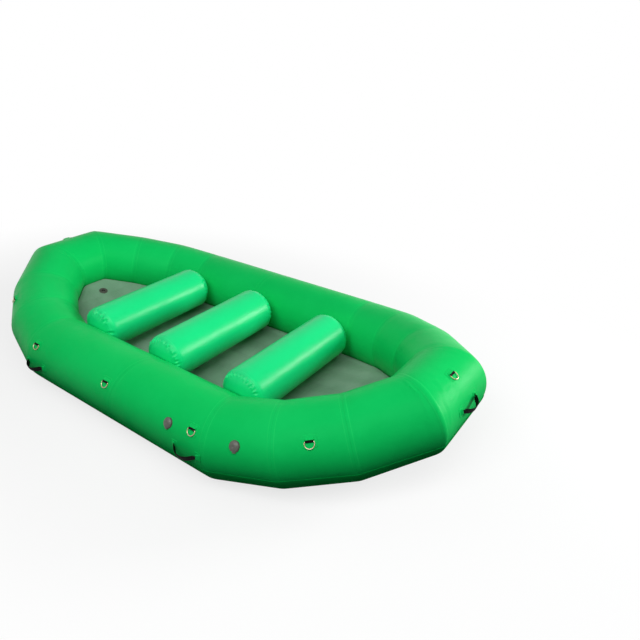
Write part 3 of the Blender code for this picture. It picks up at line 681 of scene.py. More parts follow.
def woven_nylon(name, colour):
    """Webbing: a herringbone of threads with scuffed, paler ridges."""
    plan = Plan(name, Specular_IOR_Level=0.06)
    ribs, wear = plan.weave(0.0024), plan.noise(90.0, 4.0, 0.65)
    tone = plan.mix(plan.step(ribs * 0.5 + wear, 0.45, 1.25), colour, dyed(colour, 1.6, 0.004))
    return plan.finish(tone, wear * 0.25, 0.55, plan.bump(ribs, 0.0005))


def moulded_plastic(name, colour, roughness):
    """Injection-moulded plastic: fine spark texture, scuffed paler."""
    plan = Plan(name, Specular_IOR_Level=0.5)
    wear = plan.noise(70.0, 5.0, 0.7, 0.5)
    scuffs = plan.step(wear, 0.55, 0.75)
    tone = plan.mix(scuffs * 0.5, colour, dyed(colour, 1.5, 0.03))
    spark = plan.bump(plan.noise(900.0), 0.00012)
    return plan.finish(tone, scuffs * 0.18 + wear * 0.08, roughness, spark)


def wire_steel(name, colour, roughness):
    """Polished stainless wire with drawing marks and a faint straw tint."""
    plan = Plan(name, Metallic=1.0)
    marks = plan.noise(420.0, 4.0, 0.7)
    straw = (colour[0] * 0.9, colour[1] * 0.8, colour[2] * 0.6)
    tone = plan.mix(plan.step(plan.noise(35.0), 0.4, 0.7), colour, straw)
    return plan.finish(tone, marks * 0.2, roughness, plan.bump(marks, 0.0001))


def floor_finish(name, pale, bounce, own):
    """A pale floor to the camera and in reflections, which fades to plain
    white far from the raft, and a greyer one to the light that bounces off
    it."""
    plan = Plan(name, Roughness=0.9, Specular_IOR_Level=0.0, Emission_Strength=1.0)
    seen = plan.seen()
    shade = plan.mix(plan.noise(3.0, 5.0), dyed(pale, 0.985), pale)
    away = plan.node("VectorMath", {"operation": "MULTIPLY"}, {0: plan.place(), 1: (0.45, 0.80, 0.0)})
    away = plan.node("VectorMath", {"operation": "LENGTH"}, {0: away}, output=1)
    glow = plan.step(away, 1.05, 2.4) * (1.0 - own) + own
    shine = plan.mix(seen * glow, BLACK, WHITE)
    plan.tree.links.new(shine.socket, plan.shader.inputs["Emission Color"])
    return plan.finish(plan.mix(seen, bounce, plan.mix(glow, shade, BLACK)))


# Each finish with its material's name, its colours in the panel and its settings
FINISHES = {
    "tube": (coated_fabric, "tube_fabric", ("tube", "tube_shade"), (0.38, 0.045), {"girth": RADIUS}),
    "thwart": (coated_fabric, "thwart_fabric", ("thwart", "thwart_shade"), (0.34, 0.18), {"tint": WHITE}),
    "chafer": (coated_fabric, "chafer_fabric", ("chafer", "chafer_shade"), (0.92, 0.02), {}),
    "floor": (rib_fabric, "floor_fabric", ("floor", "floor_shade"), (0.36,), {}),
    "webbing": (woven_nylon, "webbing_nylon", ("webbing",), (), {}),
    "plastic": (moulded_plastic, "valve_plastic", ("plastic",), (0.36,), {}),
    "rim": (moulded_plastic, "rim_plastic", ("rim",), (0.5,), {}),
    "seal": (moulded_plastic, "seal_rubber", ("webbing",), (0.6,), {}),
    "steel": (wire_steel, "ring_steel", ("steel",), (0.16,), {}),
    "spring": (wire_steel, "spring_steel", ("steel",), (0.22,), {}),
}
LOOKS = {}


def looks():
    """The finishes in the panel's colours, made once."""
    if not LOOKS:
        tones = bpy.context.scene.raft_colours
        for key, (finish, name, colours, settings, named) in FINISHES.items():
            chosen = (tuple(getattr(tones, each)) for each in colours)
            LOOKS[key] = finish(name, *chosen, *settings, **named)
    return LOOKS


# Hull

def creases():
    """Wrinkles in the tubes: length's number, place along it, turn, angle to
    the tube, half length, half width and height."""
    chance = np.random.default_rng(11)
    found = [
        (3, -0.115, 62.0, 78.0, 0.060, 0.0050, 0.0040),
        (3, -0.085, 44.0, 70.0, 0.055, 0.0045, 0.0034),
        (3, -0.060, 33.0, 38.0, 0.035, 0.0045, 0.0030),
        (3, -0.150, 30.0, 84.0, 0.070, 0.0050, 0.0034),
        (2, 0.160, 78.0, 86.0, 0.090, 0.0055, 0.0036),
        (2, 0.150, 40.0, 84.0, 0.100, 0.0060, 0.0030),
        (12, -0.165, 128.0, 60.0, 0.035, 0.0050, 0.0040),
        (12, -0.170, 136.0, 120.0, 0.030, 0.0045, 0.0034),
        (11, 0.170, 130.0, 95.0, 0.032, 0.0045, 0.0034),
        (12, -0.150, 118.0, 95.0, 0.028, 0.0040, 0.0030),
    ]
    for corner in range(16):
        for _ in range(7):
            side = chance.choice((-1, 1))
            number = corner if side > 0 else (corner - 1) % 16
            half = LENGTHS[number] / 2
            place = side * chance.uniform(0.028, 0.055) - side * half
            turn = chance.choice((chance.uniform(150, 215), chance.uniform(40, 150)))
            found.append((
                number, place, turn, chance.normal(10, 22), chance.uniform(0.010, 0.022),
                chance.uniform(0.0028, 0.0042), chance.uniform(0.0008, 0.0017),
            ))
    return found


def fabric_relief(place, turn, seam, number, sizes):
    """How far the cloth stands off its round section: a raised tape within
    20 mm of a seam, a shallow draw-in there, and wrinkles, each a ridge
    exp(-(v/w)^2) beside a trough, faded out along its length."""
    edge, pinch_width = 0.0011, 0.030
    strength = 1.0 + 0.9 * np.isin(number, THICK_TAPES)
    relief = sizes.tape_lift * strength * (1.0 - smooth(np.abs(seam), TAPE - edge, TAPE + edge))
    relief = relief - sizes.seam_pinch * np.exp(-(seam / pinch_width) ** 2)
    for where, along, facing, angle, half, width, height in creases():
        away = place - along
        rise = np.radians((turn - facing + 180.0) % 360.0 - 180.0) * RADIUS
        lean = math.radians(angle)
        u = away * math.cos(lean) + rise * math.sin(lean)
        v = rise * math.cos(lean) - away * math.sin(lean)
        ridge = np.exp(-(v / width) ** 2) - 0.7 * np.exp(-((v - 2.0 * width) / width) ** 2)
        relief = relief + (number == where) * height * ridge * np.exp(-(u / half) ** 4)
    side = (turn + 180.0) % 360.0 - 180.0
    under_strip = smooth(side, -122.0, -116.0) * (1.0 - smooth(side, -14.5, -10.0))
    return relief * (1.0 - under_strip) - 0.0005 * under_strip


def tube_skin(first, count, sizes, seams):
    """One air chamber's skin: the round section carried along its lengths and
    moved out by the cloth's relief, with a dome let in at each end."""
    inset, dome_depth = 0.0003, 0.06
    turn = np.linspace(0.0, 360.0, 181)
    rows = run_of_tube(first, count, around(RADIUS - inset, turn), sizes.softness, seams)
    points, normals, place, seam, number = rows
    relief = fabric_relief(place, turn[None, :], seam, number, sizes)
    points = points + normals * relief[..., None]
    skin = Skin().grid(points, chart(lengths(points[:, 45]), np.radians(turn) * RADIUS), seam)
    share = np.linspace(0.0, 1.0, 10)[:, None, None]
    for row, heading in ((points[0], ALONG[first % 16]), (points[-1], -ALONG[(first + count - 1) % 16])):
        centre = row[:-1].mean(0)
        dome = centre + (row - centre) * (1.0 - share) + heading * dome_depth * (1.0 - (1.0 - share) ** 2)
        skin.grid(dome)
    return skin


def chafer_skin(sizes):
    """The rub strip: a thin band with half-round edges, carried all round the
    hull under the tubes."""
    low, high = -94.8, -15.2
    middle, half = RADIUS + GAP + CHAFER / 2, CHAFER / 2
    turn = np.linspace(low, high, 44)
    swing = np.radians(np.linspace(0.0, 180.0, 7))[1:-1]
    beyond = np.degrees(half * np.sin(swing) / RADIUS)
    profile = np.concatenate([
        around(middle + half, turn), around(middle + half * np.cos(swing), high + beyond),
        around(middle - half, turn[::-1]), around(middle - half * np.cos(swing), low - beyond),
        around(middle + half, turn[:1]),
    ])
    points, _, _, seam, _ = run_of_tube(0, 16, profile, sizes.softness)
    return Skin().grid(points, chart(lengths(points[:, 20]), lengths(profile)), seam)


# Thwarts

def side_limit(station, out, up):
    """How far to port a thwart's end may reach before it meets a tube: the
    smaller root of |p + t Y - axis| = R for each of the three tubes there."""
    skin = 0.0015
    point = np.stack([station + out, np.zeros_like(out), THWART_HEIGHT + up], -1)
    limit = np.full(out.shape, BEAM)
    for number in (PORT - 1, PORT, PORT + 1):
        away = point - CORNERS[number]
        away = away - (away @ ALONG[number])[..., None] * ALONG[number]
        aim = np.array([0.0, 1.0, 0.0]) - ALONG[number] * ALONG[number][1]
        slope = (away @ aim) / (aim @ aim)
        room = (away * away).sum(-1) - (RADIUS + skin) ** 2
        inside = slope ** 2 - room / (aim @ aim)
        found = -slope - np.sqrt(np.maximum(inside, 0.0))
        limit = np.where(inside > 0, np.minimum(limit, found), limit)
    return limit


def gathered(along, angle, shoulders, puckers, depth, chance):
    """How far a thwart's cloth stands off its round form, and the distance to
    the nearer shoulder: a low ridge round each shoulder, crossed by gathers,
    each a groove exp(-(v/w)^2) between two swellings, faded out to its sides."""
    ridge, ridge_width = 0.0007, 0.006
    spread = (32 / max(puckers, 12)) ** 0.5
    relief, marks = np.zeros((len(along), len(angle))), []
    for row, heading in shoulders:
        away = (along - along[row]) * heading
        marks.append(away)
        relief += ridge * np.exp(-(away / ridge_width) ** 2)[:, None]
        for number in range(puckers):
            where = 2 * math.pi * (number + chance.uniform(-0.4, 0.4)) / puckers
            slant = chance.normal(0, 0.25)
            turn = (angle - where + math.pi) % (2 * math.pi) - math.pi
            v = turn * THWART_RADIUS + slant * away[:, None]
            width = chance.uniform(0.16, 0.24) * THWART_RADIUS * 2 * math.pi / max(puckers, 24)
            reach = chance.uniform(0.009, 0.016) * spread
            fold = depth * chance.uniform(0.5, 1.1) * spread
            fold = fold * np.exp(-((away[:, None] + 0.003) / reach) ** 2)
            swelling = np.exp(-((np.abs(v) - 2.1 * width) / width) ** 2)
            relief -= fold * (np.exp(-(v / width) ** 2) - 0.65 * swelling)
    return relief, np.where(np.abs(marks[0]) < np.abs(marks[1]), marks[0], marks[1])


def thwart_skin(station, sizes, puckers, seed):
    """A bolster: a cylinder whose ends follow (r/R)^n + (d/D)^n = 1, drawn
    back by a soft minimum where they press on the hull, with a ring of small
    gathers on the shoulder of each end. The port end is the more pointed."""
    softness, skin_gap = 0.004, 0.001
    room = side_limit(0.0, np.zeros(1), np.zeros(1))[0]
    swing = np.radians(np.concatenate([np.linspace(0, 60, 34)[:-1], np.linspace(60, 90, 16)]))
    shapes = []
    for bulge, depth, gap in THWART_ENDS:
        radius = THWART_RADIUS * np.cos(swing) ** (2 / bulge)
        radius[-1] = 0.0
        shapes.append((room - gap, room - gap + depth * np.sin(swing) ** (2 / bulge), radius))
    (near, near_side, near_size), (far, far_side, far_size) = shapes
    trunk = np.linspace(-near, far, 110)[1:-1]
    side = np.concatenate([-near_side[::-1], trunk, far_side])
    size = np.concatenate([near_size[::-1], np.full(len(trunk), THWART_RADIUS), far_size])
    lean = np.concatenate([-swing[::-1], 0.0 * trunk, swing])[:, None]
    angle = np.linspace(0.0, 2 * math.pi, 241)
    out, up = size[:, None] * np.cos(angle), size[:, None] * np.sin(angle)
    along, reach = lengths(np.stack([side, size], -1)), np.abs(side)[:, None]
    shoulders = ((len(swing) - 17, -1), (len(side) - len(swing) + 11, 1))
    chance = np.random.default_rng(seed)
    relief, nearest = gathered(along, angle, shoulders, puckers, sizes.gather_depth, chance)
    relief *= smooth(side_limit(station, out, up) - reach, 0.001, 0.020)
    outward = relief * np.cos(lean)
    out, up = out + outward * np.cos(angle), up + outward * np.sin(angle)
    sideways = reach + relief * np.abs(np.sin(lean))
    limit = side_limit(station, out, up) - skin_gap
    pressed = -softness * np.logaddexp(-sideways / softness, -limit / softness)
    sideways = np.where(reach < far - 0.12, sideways, pressed)
    points = np.stack([station + out, np.sign(side)[:, None] * sideways, THWART_HEIGHT + up], -1)
    points[0], points[-1] = points[0].mean(0), points[-1].mean(0)
    uv = chart(along - along[len(along) // 2], angle * THWART_RADIUS)
    return Skin().grid(points, uv, np.repeat(nearest[:, None] + TAPE, len(angle), 1))


# Floor

def floor_rims(*corners):
    """Where the floor's top meets its side at some of the hull's corners."""
    return np.array([corner_ring(corner, np.array([[-FLOOR_INSET, -FLOOR_DROP]]))[0] for corner in corners])


def floor_height(x):
    """The floor's top, level amidships and in straight slopes to its ends."""
    rims = floor_rims(7, 6, 5, 4)
    return np.interp(np.abs(x), rims[:, 0], rims[:, 2])


def floor_skin(sizes):
    """The floor bladder: a rim whose side is a parabola in height, and a top
    and underside that run from it to the middle line, with long swellings
    a (cos(2 pi y / pitch) - 1) / 2 between rows of threads."""
    bulge, well_depth = 0.025, 0.045
    t = np.linspace(0.0, 1.0, 15)
    out = bulge * (1.0 - (2.0 * t - 1.0) ** 2) - FLOOR_INSET
    profile = np.stack([out, -FLOOR_DROP - FLOOR_DEPTH * t], -1)
    rim = run_of_tube(0, 16, profile, 0.02)[0]
    skin = Skin().grid(rim, chart(lengths(rim[:, 0]), t * 0.12))
    for edge, sign, count in ((0, 1.0, 46), (-1, -1.0, 14)):
        line = rim[:, edge]
        middle = line * (1, 0, 1)
        middle[:, 0] = np.clip(line[:, 0], -FLOOR_RIDGE, FLOOR_RIDGE)
        share = (1.0 - np.linspace(0.0, 1.0, count) ** 1.6)[:, None, None]
        sheet = middle + (line - middle) * share
        gap = np.linalg.norm((line - middle) * (1, 1, 0), axis=-1) * (1.0 - share[..., 0])
        drop = 0.0 if sign > 0 else FLOOR_DEPTH
        base = floor_height(sheet[..., 0]) - drop
        offset = line[:, 2] - (floor_height(line[:, 0]) - drop)
        swell = sizes.rib_height * (np.cos(2 * math.pi * sheet[..., 1] / sizes.rib_pitch) - 1.0) / 2
        sheet[..., 2] = base + offset * share[..., 0] ** 6 + sign * swell * smooth(gap, 0.0, 0.05)
        sheet[..., 2] += sign * 0.004 * smooth(gap, 0.0, 0.03)
        if sign > 0:
            away = np.linalg.norm((sheet - relief_frame()[1])[..., :2], axis=-1)
            sheet[..., 2] -= well_depth * (1.0 - smooth(away, 0.019, 0.033))
        row = np.abs((sheet[..., 1] / sizes.rib_pitch + 0.5) % 1.0 - 0.5) * sizes.rib_pitch
        seams = np.where(gap > 0.03, np.abs(row - sizes.rib_pitch / 2), 1.0) if sign > 0 else None
        skin.grid(sheet, sheet[..., :2], seams)
    return skin


def skirt_skin():
    """The flange that hangs the floor: a bent line carried round the hull,
    with a round drain hole wherever a square of the grid is traded for rings
    that pass from its outline to a circle."""
    inner, depth = -FLOOR_INSET, -FLOOR_DROP - FLOOR_DEPTH - 2 * GAP - 0.00075
    lap = around(RADIUS + GAP + 0.00075, np.array([-115.0, -110.0, -105.0]))
    bend = [(inner + (lap[0, 0] - inner) * share, depth) for share in (0.0, 0.5, 0.8)]
    line = softened(np.concatenate([bend, lap]), 0.01, 6)
    girth = lengths(line)
    hole, half = DRAIN_PLACE - inner, 0.034
    columns = np.concatenate([
        np.linspace(0.0, hole - half, 5)[:-1], np.linspace(hole - half, hole + half, 9)[:-1],
        np.linspace(hole + half, girth[-1], 14),
    ])
    walk = np.arange(33) / 8
    square = [np.interp(walk, range(5), edges) for edges in ((1, 1, -1, -1, 1), (-1, 1, 1, -1, -1))]
    square = np.stack(square, -1) * half
    circle = around(DRAIN_RADIUS, np.linspace(-45.0, 315.0, 33))
    ring = square + (circle - square) * np.linspace(0.0, 1.0, 5)[:, None, None]
    skin = Skin()
    for number in range(16):
        ends = [corner_ring(number + side, line) for side in (0, 1)]
        length = LENGTHS[number]

        def surface(along, across):
            """Points at distances along one length and across the flange."""
            found = [np.stack([np.interp(across, girth, end[:, k]) for k in range(3)], -1) for end in ends]
            return found[0] + (found[1] - found[0]) * (along / length)[..., None]

        count = max(int(length / DRAIN_PITCH), 1)
        holes = [length / 2 + (step - (count - 1) / 2) * DRAIN_PITCH for step in range(count)]
        rows, cells = [0.0], []
        for middle in holes:
            rows += list(np.linspace(rows[-1], middle - half, 9)[1:])
            cells.append(len(rows) - 1)
            rows += list(np.linspace(middle - half, middle + half, 9)[1:])
        rows += list(np.linspace(rows[-1], length, 9)[1:])
        along, across = np.meshgrid(rows, columns, indexing="ij")
        keep = np.ones((len(rows) - 1, len(columns) - 1), bool)
        for cell in cells:
            keep[cell:cell + 8, 4:12] = False
        skin.grid(surface(along, across), np.stack([along, across], -1), keep=keep)
        for middle in holes:
            skin.grid(surface(middle + ring[..., 0], hole + ring[..., 1]), ring)
    return skin


# Fittings bonded to the tubes

def drings():
    """Each D-ring's name with the frame of its bar on the tube."""
    spacing = STRAIGHT / 2 - 0.075
    found = {
        f"{side}_{place}": (length, ahead * offset, RING_FACING)
        for side, length, ahead in SIDES
        for place, offset in (("fore", spacing), ("mid", 0.0), ("aft", -spacing))
    }
    for end, middle, step in (("bow", BOW, 2), ("stern", STERN, -2)):
        found[end + "_starboard"] = (middle - step, 0.0, RING_FACING)
        found[end] = (middle, 0.0, END_RING_FACING)
        found[end + "_port"] = (middle + step, 0.0, RING_FACING)
    return found


def handles():
    """Each carry handle's name with its place on the tube."""
    spacing = STRAIGHT / 2 - 0.098
    found = {
        f"{side}_{place}": (length, ahead * offset, HANDLE_FACING)
        for side, length, ahead in SIDES for place, offset in (("fore", spacing), ("aft", -spacing))
    }
    return {**found, "bow": (BOW, 0.0, END_HANDLE_FACING), "stern": (STERN, 0.0, END_HANDLE_FACING)}


def bonded_patch(skin, length, offset, facing, half_long, half_round, cover):
    """A patch glued to a tube: rings of a rounded box drawn out from its
    middle and bent round the tube, thin at the edge, and raised to pass over
    the end of a strap. cover gives that height over distances along and
    round the tube."""
    height, lip, sunk = 0.0016, 0.0006, 0.0012
    share = np.concatenate([np.linspace(0.0, 0.86, 40), np.linspace(0.88, 1.0, 10)])
    wide, tall = rounded(129, 5.0)
    x, y = share[:, None] * half_long * wide, share[:, None] * half_round * tall
    rise = (height * (1.0 - smooth(share, 0.945, 1.0)) - lip * smooth(share, 0.97, 1.0))[:, None]
    rise = np.concatenate([rise + cover(x, y), np.full((2, len(wide)), -sunk)])
    x, y = (np.concatenate([value, value[-1:] * 0.97, value[-1:] * 0.0]) for value in (x, y))
    turn = np.radians(facing) + y / RADIUS
    round_tube = (RADIUS + rise)[..., None] * np.stack([np.cos(turn), np.sin(turn)], -1)
    points = spot(length, offset) + x[..., None] * ALONG[length] + beside(length, round_tube)
    skin.grid(points, np.stack([x, y + math.radians(facing) * RADIUS], -1))


def over_tail(x, y):
    """A patch's height over a ring's webbing: a blunt front across the loop,
    then a slope that dies away up the tube."""
    inside = 1.0 - smooth(np.abs(x), 0.0236, 0.0278)
    return inside * smooth(y, 0.0068, 0.0092) * (0.0112 - 0.0109 * smooth(y, 0.0030, 0.0310))


# A ring's wire, half its width and its arms, the height of its bar over the
# tube, and how far it dips from there to lie on its patch
WIRE_RADIUS, RING_HALF, RING_ARM = 0.003, 0.029, 0.010
BAR_HEIGHT, PATCH_HEIGHT = 0.0069, 0.002
LEAN = math.asin((BAR_HEIGHT - WIRE_RADIUS - PATCH_HEIGHT - 3 * GAP) / (RING_HALF + RING_ARM))


def webbing_loop(skin, station):
    """A folded strip of webbing round a ring's bar: a half circle of middle
    radius 4.6 mm with both tails running on up the tube."""
    middle = 0.0046
    loop = np.concatenate([arc((0.0, 0.0), middle, -90.0, -270.0, 19), [(0.0, middle)]])
    lower = np.stack([np.linspace(0.0225, 0.002, 8), np.full(8, -middle)], -1)
    upper = curve(np.linspace(0.0, 1.0, 12)[1:, None], (0.0, middle), (0.008, middle), (0.0185, -0.0026))
    route = np.concatenate([lower, loop, upper])
    path = np.concatenate([np.zeros((len(route), 1)), route], 1)
    strip = strap(path, (1.0, 0.0, 0.0), WEBBING_WIDTH, WEBBING_THICKNESS)
    skin.sweep(strip, station, (0.0, 0.0, BAR_HEIGHT))


def ring_wire(station):
    """The welded D: a bar, two short arms and a half circle, in round wire
    that swells a little where it is welded."""
    half, arm, corner = RING_HALF, RING_ARM, 0.005
    bar = np.linspace(corner - half, half - corner, 24)[:-1]
    side = np.linspace(-corner, -arm, 5)[:-1]
    flat = np.concatenate([
        np.stack([bar, 0 * bar], -1),
        arc((half - corner, -corner), corner, 90.0, 0.0, 8),
        np.stack([np.full(4, half), side], -1),
        arc((0.0, -arm), half, 0.0, -180.0, 49),
        np.stack([np.full(4, -half), side[::-1] - (arm - corner) / 4], -1),
        arc((corner - half, -corner), corner, 180.0, 90.0, 8),
    ])
    flat = flat[np.linalg.norm(flat - np.roll(flat, 1, 0), axis=1) > 1e-5]
    path = np.stack([flat[:, 0], flat[:, 1] * math.cos(LEAN), flat[:, 1] * math.sin(LEAN)], -1)
    heading = unit(np.roll(path, -1, 0) - np.roll(path, 1, 0))
    outward = np.tile([0.0, -math.sin(LEAN), math.cos(LEAN)], (len(path), 1))
    weld = np.exp(-((flat[:, 0] + half) / 0.004) ** 2 - ((flat[:, 1] + arm + 0.001) / 0.0022) ** 2)
    size = 2 * WIRE_RADIUS * (1.0 + 0.10 * weld)
    ring = swept(path, np.cross(heading, outward), outward, size, size, 16, 2.0, closed=True)
    return Skin().sweep(ring, station, (0.0, 0.0, BAR_HEIGHT))


def handle_strap(station, facing):
    """A drooping loop of webbing: at share s of its half span it stands out
    by depth (1 - s^2.4)^1.2, and narrow only at its ends; its middle is
    cupped across to fit a hand."""
    half, depth = 0.0895, 0.0455
    droop = math.radians(18.0 + facing)
    reach = np.array([0.0, -math.sin(droop), math.cos(droop)])
    wide = np.array([0.0, math.cos(droop), math.sin(droop)])
    share = np.sin(np.linspace(-0.5, 0.5, 61) * math.pi)
    swell = 1.0 - share ** 2
    path = share[:, None] * half * np.array([1.0, 0.0, 0.0])
    path = path + (depth * (1.0 - np.abs(share) ** 2.4) ** 1.2)[:, None] * reach
    size = STRAP_END + 0.0165 * smooth(swell, 0.0, 0.16)
    loop = strap(path, wide, size, STRAP_THICKNESS, 22)
    offset = (loop - np.concatenate([path[:1], path, path[-1:]])[:, None]) @ wide
    swell = np.concatenate([swell[:1], swell, swell[-1:]])
    loop = loop - (6.0 * offset ** 2 * swell[:, None])[..., None] * reach
    return Skin().sweep(loop, station, (0.0, 0.0, 0.009))


def handle_tail(skin, station, side):
    """The end of a handle's webbing, which dives under its patch."""
    t = np.linspace(0.0, 1.0, 14)[:, None]
    path = curve(t, (0.0902, 0.0088), (0.100, 0.0088), (0.112, 0.0006))
    path = np.stack([side * path[:, 0], 0 * path[:, 0], path[:, 1]], -1)
    size = STRAP_END + 0.0070 * smooth(t[:, 0], 0.0, 0.30)
    skin.sweep(strap(path, (0.0, 1.0, 0.0), size, STRAP_THICKNESS), station)


# Valves

def valves():
    """Each valve's name with the frame of its hole."""
    spacing, thwart_side = STRAIGHT / 2 - 0.272, -0.35
    places = (("starboard", spacing), ("bow", 0.0), ("port", spacing), ("stern", 0.0))
    found = {name: fitting_frame(CHAMBERS[name][0], offset, VALVE_FACING) for name, offset in places}
    axes = np.array([[0.0, -1.0, 0.0], [0.0, 0.0, 1.0], [-1.0, 0.0, 0.0]])
    for name, station in THWARTS.items():
        found[name + "_thwart"] = (axes, np.array([station - THWART_RADIUS, thwart_side, THWART_HEIGHT]))
    return found


def valve_insert(skin, station, radius):
    """The moulded insert: a flange with two low rings, a bore with thread
    ribs, a web with a hole for the stem, and the clamp nut inside."""
    skin.lathe([
        (0.009, -0.014), (0.016, -0.014), (0.016, -0.009), (0.0163, -0.0085), (0.016, -0.008),
        (0.016, -0.005), (0.0163, -0.0045), (0.016, -0.004), (0.016, 0.0040), (0.0168, 0.0047),
        (0.0215, 0.0047), (0.0222, 0.0041), (0.0232, 0.0041), (0.0240, 0.0047), (radius - 0.0016, 0.0047),
        (radius, 0.0031), (radius, -0.0020), (0.022, -0.0020), (0.022, -0.003), (0.027, -0.003),
        (0.027, -0.009), (0.019, -0.024), (0.016, -0.024), (0.016, -0.017), (0.009, -0.017),
        (0.009, -0.014),
    ], station, 64, 0.0004)


def valve_stem(station):
    """The push-in stem: a button with a finger dish, a stem and the seal."""
    return Skin().lathe([
        (0.0, -0.0016), (0.0060, -0.0014), (0.0095, -0.0011), (0.0134, -0.0011), (0.0134, -0.0034),
        (0.0028, -0.0034), (0.0028, -0.0174), (0.0147, -0.0174), (0.0147, -0.0197), (0.0, -0.0197),
    ], station, 40, 0.0004)


def relief_disc(station):
    """The relief valve's disc, stem and collar, with ribs on the disc."""
    return Skin().lathe([
        (0.0, -0.0108), (0.0040, -0.0108), (0.0048, -0.0114), (0.0080, -0.0114), (0.0088, -0.0108),
        (0.0118, -0.0108), (0.0134, -0.0122), (0.0134, -0.0136), (0.0028, -0.0136), (0.0028, -0.0271),
        (0.0124, -0.0271), (0.0124, -0.0294), (0.0, -0.0294),
    ], station, 40, 0.0003)


def rounded_plate(skin, station, low, high):
    """A small moulded block with rounded edges: the rounded box of powers of
    cosine and sine, drawn in at its top and its foot."""
    corner = 0.0009
    size, middle = (np.array(high) - low) / 2, (np.array(high) + low) / 2
    wide, tall = rounded(33, 6.0)
    swing = np.radians(np.linspace(-90.0, 90.0, 13))
    rise = np.sign(swing) * np.abs(np.sin(swing)) ** (2 / 6.0)
    draw = np.cos(swing) ** (2 / 6.0)
    inset = (1.0 - draw)[:, None] * corner
    body = (np.abs(rise) < 1.0)[:, None]
    points = [body * (size[0] - inset) * wide, body * (size[1] - inset) * tall]
    points.append(np.repeat(rise[:, None] * size[2], len(wide), 1))
    skin.grid(placed(np.stack(points, -1) + middle, station))


def hinge_of(station):
    """The frame of the hinge line at a valve's rim."""
    return station[0], station[1] + np.array([0.0, HINGE_PLACE, VALVE_TOP]) @ station[0]


def pin(radius, low, high, sides):
    """A round pin along X with softened ends."""
    profile = [(0.0, low), (radius, low), (radius, high), (0.0, high)]
    return turned(softened(profile, 0.0005), sides)[..., [2, 0, 1]]


def valve_cap(station):
    """A domed cap with a gripped rim, a step and a dimple, whose tab ends in
    a barrel on the hinge line."""
    flutes, grip = 28, 0.0004

    def ripple(angle, height):
        """Shallow flutes round the rim, faded out on the dome."""
        return grip * (np.cos(flutes * angle) - 1) * (1 - smooth(height, 0.003, 0.008))

    profile = [
        (0.0, 0.0126), (0.0052, 0.0128), (0.0068, 0.0140), (0.0092, 0.0143), (0.0160, 0.0135),
        (0.0215, 0.0119), (0.0250, 0.0102), (0.0262, 0.0088), (0.0295, 0.0066), (0.0320, 0.0042),
        (0.0329, 0.0027), (0.0329, 0.0005), (0.0318, 0.0002), (0.0, 0.0002),
    ]
    skin = Skin().grid(placed(turned(softened(profile), 112, ripple), station, (0.0, 0.0, VALVE_TOP)))
    hinge = hinge_of(station)
    rounded_plate(skin, hinge, (-0.0078, 0.0002, 0.0006), (0.0078, 0.0098, 0.0026))
    return skin.grid(placed(pin(0.0021, -0.0078, 0.0078, 24), hinge))


def hinge_ears(skin, station):
    """Two ears on the flange with the hinge pin's heads."""
    hinge = hinge_of(station)
    for side in (-1, 1):
        low, high = sorted((side * 0.0086, side * 0.0112))
        rounded_plate(skin, hinge, (low, -0.0026, -0.0040), (high, 0.0056, -0.0008))
        rounded_plate(skin, hinge, (low, -0.0026, -0.0036), (high, 0.0030, 0.0022))
        skin.grid(placed(pin(0.0014, 0.0084, 0.0116, 18) * (side, 1, 1), hinge))


def spring(node, station, fixed, moving, stem):
    """A coil of 2.5 turns in round wire between a fixed depth in the hull and
    a depth that goes with the stem, so that a push closes it up."""
    radius, wire, turns = 0.0113, 0.0011, 2.5
    share = np.linspace(0.0, 1.0, 121)
    swing = share * turns * 2 * math.pi
    spoke = np.stack([np.cos(swing), np.sin(swing), 0.0 * swing], -1)
    path = radius * spoke
    path[:, 2] = fixed + (moving - fixed) * share
    coil = swept(path, np.cross(unit(np.gradient(path, axis=0)), spoke), spoke, wire, wire, 10, 2.0)
    name = node.replace("valve_spring", "coil")
    made = Skin().sweep(coil, station).make(name, "spring", None, "spring_steel", [node])
    ends = [tuple(placed(np.array([0.0, 0.0, depth]), station)) for depth in (fixed, moving)]
    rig.blend(made, "hull", stem, *ends)


def relief_frame():
    """A frame near the foot of the floor's last slope at the stern."""
    rims = floor_rims(11, 10) * (1, 0, 1)
    along = unit(rims[1] - rims[0])
    across = np.array([0.0, 1.0, 0.0])
    return np.array([along, across, np.cross(along, across)]), rims[1] - along * 0.045


# Settings

def metres(name, meaning, default, most, least=0.0):
    """A length setting."""
    return FloatProperty(
        name=name, description=meaning, default=default, min=least, max=most, unit="LENGTH")


def watts(name, place, default):
    """The setting of one lamp's power."""
    return FloatProperty(
        name=name, description=f"Power of the {place}", default=default,
        min=0.0, max=5000.0, unit="POWER")


def tone(name, value):
    """A colour setting for one finish."""
    return FloatVectorProperty(
        name=name, description=f"Colour of the {name.lower()}", default=value,
        subtype="COLOR", size=3, min=0.0, max=1.0)


class RaftSizes(bpy.types.PropertyGroup):
    softness: metres("Corner Softness", "How far a mitre's fold is rounded", 0.012, 0.04, 0.002)
    tape_lift: metres("Tape Lift", "Thickness of the seam tape", 0.0011, 0.004)
    seam_pinch: metres("Seam Draw-in", "How far a seam draws the tube in", 0.0024, 0.01)
    gathers: IntProperty(
        name="Gathers", description="Gathers round each end of the middle thwart",
        default=24, min=0, max=60)
    gather_depth: metres("Gather Depth", "Depth of the gathers at the ends of the thwarts", 0.0060, 0.012)
    rib_pitch: metres("Floor Channel Pitch", "Distance between the floor's long channels", 0.21, 0.6, 0.05)
    rib_height: metres("Floor Channel Depth", "Depth of the floor's long channels", 0.006, 0.02)


